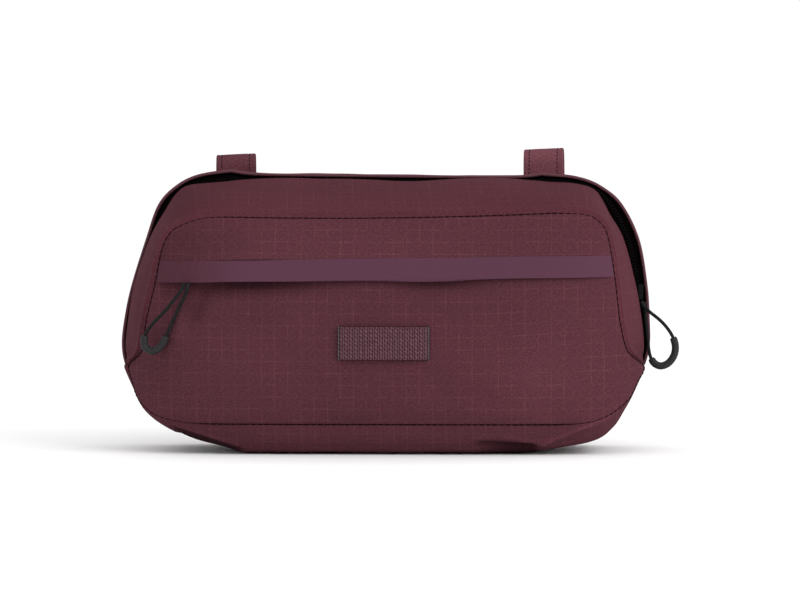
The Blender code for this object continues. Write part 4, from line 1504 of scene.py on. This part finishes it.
def zip_place(s, t):
    """Across the zip's tape, from under the front gusset to under the lip."""
    a = around(ZIP_A, END_A, s)
    rows = []
    for name, from_back, inside in ZIP_ROWS:
        point = outline(name, a) + inward(name, a) * inside
        point.y = BACK_Y - from_back
        rows.append(point)
    return curve_through(rows, t * 3)


def flat_tape(s, t, point):
    return 0.0


def coil_spots():
    middle = [zip_place(k / COIL_STEPS, 0.5) for k in range(COIL_STEPS + 1)]
    spots = []
    for number, (place, along, k) in enumerate(walk(middle, COIL_PITCH)):
        across = (zip_place(k / COIL_STEPS, 0.62) - zip_place(k / COIL_STEPS, 0.38)).normalized()
        out = along.cross(across).normalized()
        way = 1 if number % 2 else -1
        spots.append((place + across * way * COIL_SIDE + out * COIL_PROUD, across, out))
    return spots


main_zip = sew_panel("main_zip_tape", 300, 12, zip_place, flat_tape, thickness=ZIP_THICKNESS)
finish_piece(main_zip, ZIP_TAPE_PAINTED_SHADE, "main_zip")
lay("main_zip_coil", stitch_shape(*COIL_SIZE), coil_spots(), ZIP_COIL_PAINTED_SHADE)

# %% [markdown]
# ## Pocket zip
# The pocket's zip hides behind the flap, and only a black strip of tape can be guessed under its edge. It
# follows the flap's edge a few millimetres behind it and needs no coil.

# %% Pocket zip
POCKET_ZIP_DEPTH = 4.4 * MM
POCKET_ZIP_SPAN = 0.93  # share of the front's width
POCKET_ZIP_HALF = 6.0 * MM
POCKET_ZIP_THICKNESS = 0.8 * MM


def pocket_zip_place(s, t):
    across = blend(-POCKET_ZIP_SPAN, POCKET_ZIP_SPAN, s)
    z = flap_edge(across) + blend(-POCKET_ZIP_HALF, POCKET_ZIP_HALF, t)
    point = front(across, row_at_height(z))
    point.y += POCKET_ZIP_DEPTH
    return point


pocket_zip = sew_panel("pocket_zip_tape", 160, 8, pocket_zip_place, flat_tape, thickness=POCKET_ZIP_THICKNESS)
finish_piece(pocket_zip, ZIP_TAPE_PAINTED_SHADE, "pocket_zip")

# %% [markdown]
# ## Routes of the pulls
# Each slider is a small black casting with a bridge. A loop of braided cord goes through the bridge, and
# both of its ends are glued into a bent rubber end, which is what the rider takes hold of. A pull could
# be left to hang by gravity. This cord is stiff, and the photograph shows its bend, so it follows the CAD
# row's routes, in millimetres from the middle of the slider.

# %% Routes of the pulls
POCKET_ROUTE = (
    # x, y and z in mm
    (-1.51, -5.63, -5.30), (-2.21, -6.23, -8.30), (-5.82, -5.63, -13.10), (-9.67, -4.03, -17.80),
    (-13.69, -2.43, -22.00), (-17.58, -0.83, -26.00), (-20.41, 0.37, -29.90), (-21.61, 1.17, -33.70),
    (-21.21, 1.37, -36.90), (-18.81, 1.17, -38.80), (-15.81, 0.77, -38.50), (-13.01, 0.17, -36.20),
    (-11.01, -0.63, -32.80), (-9.18, -1.83, -28.60), (-7.02, -3.23, -23.80), (-4.44, -4.63, -18.70),
    (-1.85, -5.73, -13.50), (0.29, -6.33, -8.50), (0.69, -5.73, -5.30),
)
MAIN_ROUTE = (
    (0.74, -0.84, -4.80), (1.74, -1.64, -6.80), (5.04, -3.04, -10.00), (9.24, -4.64, -13.30),
    (12.84, -5.84, -17.00), (15.80, -6.44, -21.40), (17.40, -6.74, -26.20), (16.90, -6.74, -31.00),
    (14.20, -6.64, -35.00), (10.60, -6.44, -36.60), (7.40, -6.14, -35.60), (5.30, -5.44, -32.60),
    (4.30, -4.00, -28.60), (3.95, -1.95, -24.20), (3.40, -0.30, -18.50), (2.74, 0.56, -13.00),
    (2.34, 0.86, -8.50), (2.04, 0.86, -4.80),
)
PULL_SPAN = {"pocket": (6.4, 12.3), "main": (5.2, 10.9)}  # stretch of each route inside its rubber end
print(len(POCKET_ROUTE), "and", len(MAIN_ROUTE), "points")

# %% [markdown]
# ## Zip pulls
# Cord and rubber end are both round tubes along the same route. The rubber end covers the lower bend of
# the cord; it is finely ribbed, so that a glove can hold it, and its two tips are rounded. The sliders
# stay as the CAD row has them.

# %% Zip pulls
CORD_WIDTH = 1.7 * MM
PULL_WIDTH = 3.7 * MM
PULL_TIP = 1.2 * MM  # length of the rubber end's rounded tips
PULL_TIP_WIDTH = 0.62  # share of the rubber end's width
PULL_STEPS = 181
RIB_PITCH = 1.1 * MM
RIB_HEIGHT = 0.035  # of the rubber end's width


def bent_tube(name, points, width, finish, swells=None):
    """A curve through these points as a round tube; swells are shares of its width, point by point."""
    bpy.ops.object.select_all(action="DESELECT")
    bpy.ops.curve.primitive_bezier_curve_add()
    piece = bpy.context.object
    piece.name = piece.data.name = name
    curve = piece.data
    curve.splines.clear()
    spline = curve.splines.new("POLY")
    spline.points.add(len(points) - 1)
    for number, (knot, point) in enumerate(zip(spline.points, points)):
        knot.co = (*point, 1.0)
        knot.radius = swells[number] if swells else 1.0
    spline.use_smooth = True
    curve.dimensions = "3D"
    curve.bevel_depth = width / 2
    curve.bevel_resolution = 6
    curve.use_fill_caps = True
    curve.materials.append(finish)
    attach(piece, "root")
    return piece


def on_route(route, first, last, count):
    return [curve_through(route, blend(first, last, k / (count - 1))) for k in range(count)]


def rubber_swells(way):
    """Widths of a rubber end: finely ribbed, with rounded tips."""
    swells = []
    for run in way:
        rest = 1 - min(min(run, way[-1] - run) / PULL_TIP, 1.0)
        rib = 1 + RIB_HEIGHT * math.sin(2 * math.pi * run / RIB_PITCH)
        swells.append(rib * blend(PULL_TIP_WIDTH, 1.0, math.sqrt(max(1 - rest * rest, 0.0))))
    return swells


def zip_pull(kind, route):
    middle = sum((Vector(corner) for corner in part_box(kind + "_slider")), Vector()) / 2
    knots = [middle + Vector(offset) * MM for offset in route]
    line = on_route(knots, 0, len(knots) - 1, 8 * (len(knots) - 1) + 1)
    cord = bent_tube(kind + "_pull_loop", line, CORD_WIDTH, CORD)
    points = on_route(knots, *PULL_SPAN[kind], PULL_STEPS)
    way = way_along(points)
    end = bent_tube(kind + "_pull_rubber", points, PULL_WIDTH, RUBBER, rubber_swells(way))
    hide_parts(kind + "_pull_cord")
    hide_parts(kind + "_pull_end")
    length = way_along(line)[-1]
    tuple(line[0])
    print(kind, "pull cord", round(length / MM, 1), "mm, rubber end", round(way[-1] / MM, 1), "mm")


def finish_slider(kind):
    """The CAD row's slider in black metal, darkened further as painted shade."""
    casting = bpy.data.objects[kind + "_slider"]
    casting.data.materials.clear()
    casting.data.materials.append(SLIDER_METAL_PAINTED_SHADE)


for kind, route in (("pocket", POCKET_ROUTE), ("main", MAIN_ROUTE)):
    finish_slider(kind)
    zip_pull(kind, route)

# %% [markdown]
# ## Hem of the lip
# The lip's front edge is folded back on itself, so it ends in a small round bead that catches the light
# all round the zip. It could be a fold in the rear gusset's grid, but a thin tube along the lip's outline
# is rounder and needs far fewer faces. Its cloth is also made lighter than the bag's, painted light on
# the bead.

# %% Hem of the lip
LIP_HEM = 1.5 * MM
HEM_STEPS = 420
HEM_PROUD = 0.1 * MM


def lip_hem():
    points = []
    for k in range(HEM_STEPS + 1):
        a = around(ZIP_A, END_A, k / HEM_STEPS)
        point = outline("lip", a) + inward("lip", a) * LIP_HEM * 0.5
        point.y = BACK_Y - LIP_FROM_BACK - HEM_PROUD
        points.append(point)
    return bent_tube("lip_hem", points, LIP_HEM, HEM_CLOTH_PAINTED_LIGHT)


print("lip hem", len(lip_hem().data.splines[0].points), "points")

# %% [markdown]
# ## Floor and light
# A white sweep under an even white sky, as in a product photograph, with one large soft light at the
# front right and a weaker one at the left. A real studio would build this with a tent of white cloth. The
# bag's own shadow on the floor stays short and faint.

# %% Floor and light
SKY_STRENGTH = 1.03
LIGHTS = (
    # name, place and size in metres, power in watts
    ("key", (1.75, -1.4, 1.2), 1.8, 34.0),
    ("fill", (-1.2, -1.6, 0.7), 1.4, 1.5),
)
LIGHT_AIM = Vector((0, 0, 0.07))


def white_floor():
    bpy.ops.mesh.primitive_plane_add(size=12.0)
    floor = bpy.context.object
    floor.name = "floor"
    made, n, shader = new_material("floor", (0.96, 0.96, 0.96), 0.9)
    grain = n.noise(object_vector(n), 3.0)
    n.plug(shader, n.mix(grain, (0.955, 0.955, 0.955, 1), (0.965, 0.965, 0.965, 1)), shine=0.1)
    floor.data.materials.append(made)


def white_sky():
    world = bpy.data.worlds.new("studio")
    world.use_nodes = True
    bpy.context.scene.world = world
    background = world.node_tree.nodes["Background"]
    background.inputs["Color"].default_value = (1, 1, 1, 1)
    background.inputs["Strength"].default_value = SKY_STRENGTH


def soft_light(name, place, size, power):
    data = bpy.data.lights.new(name, "AREA")
    data.size = size
    data.energy = power
    lamp = bpy.data.objects.new(name, data)
    bpy.context.scene.collection.objects.link(lamp)
    lamp.location = place
    lamp.rotation_euler = (Vector(place) - LIGHT_AIM).to_track_quat("Z", "Y").to_euler()


white_floor()
white_sky()
for light in LIGHTS:
    soft_light(*light)
bpy.context.scene.view_settings.view_transform = "Standard"
print(len(LIGHTS), "lights")
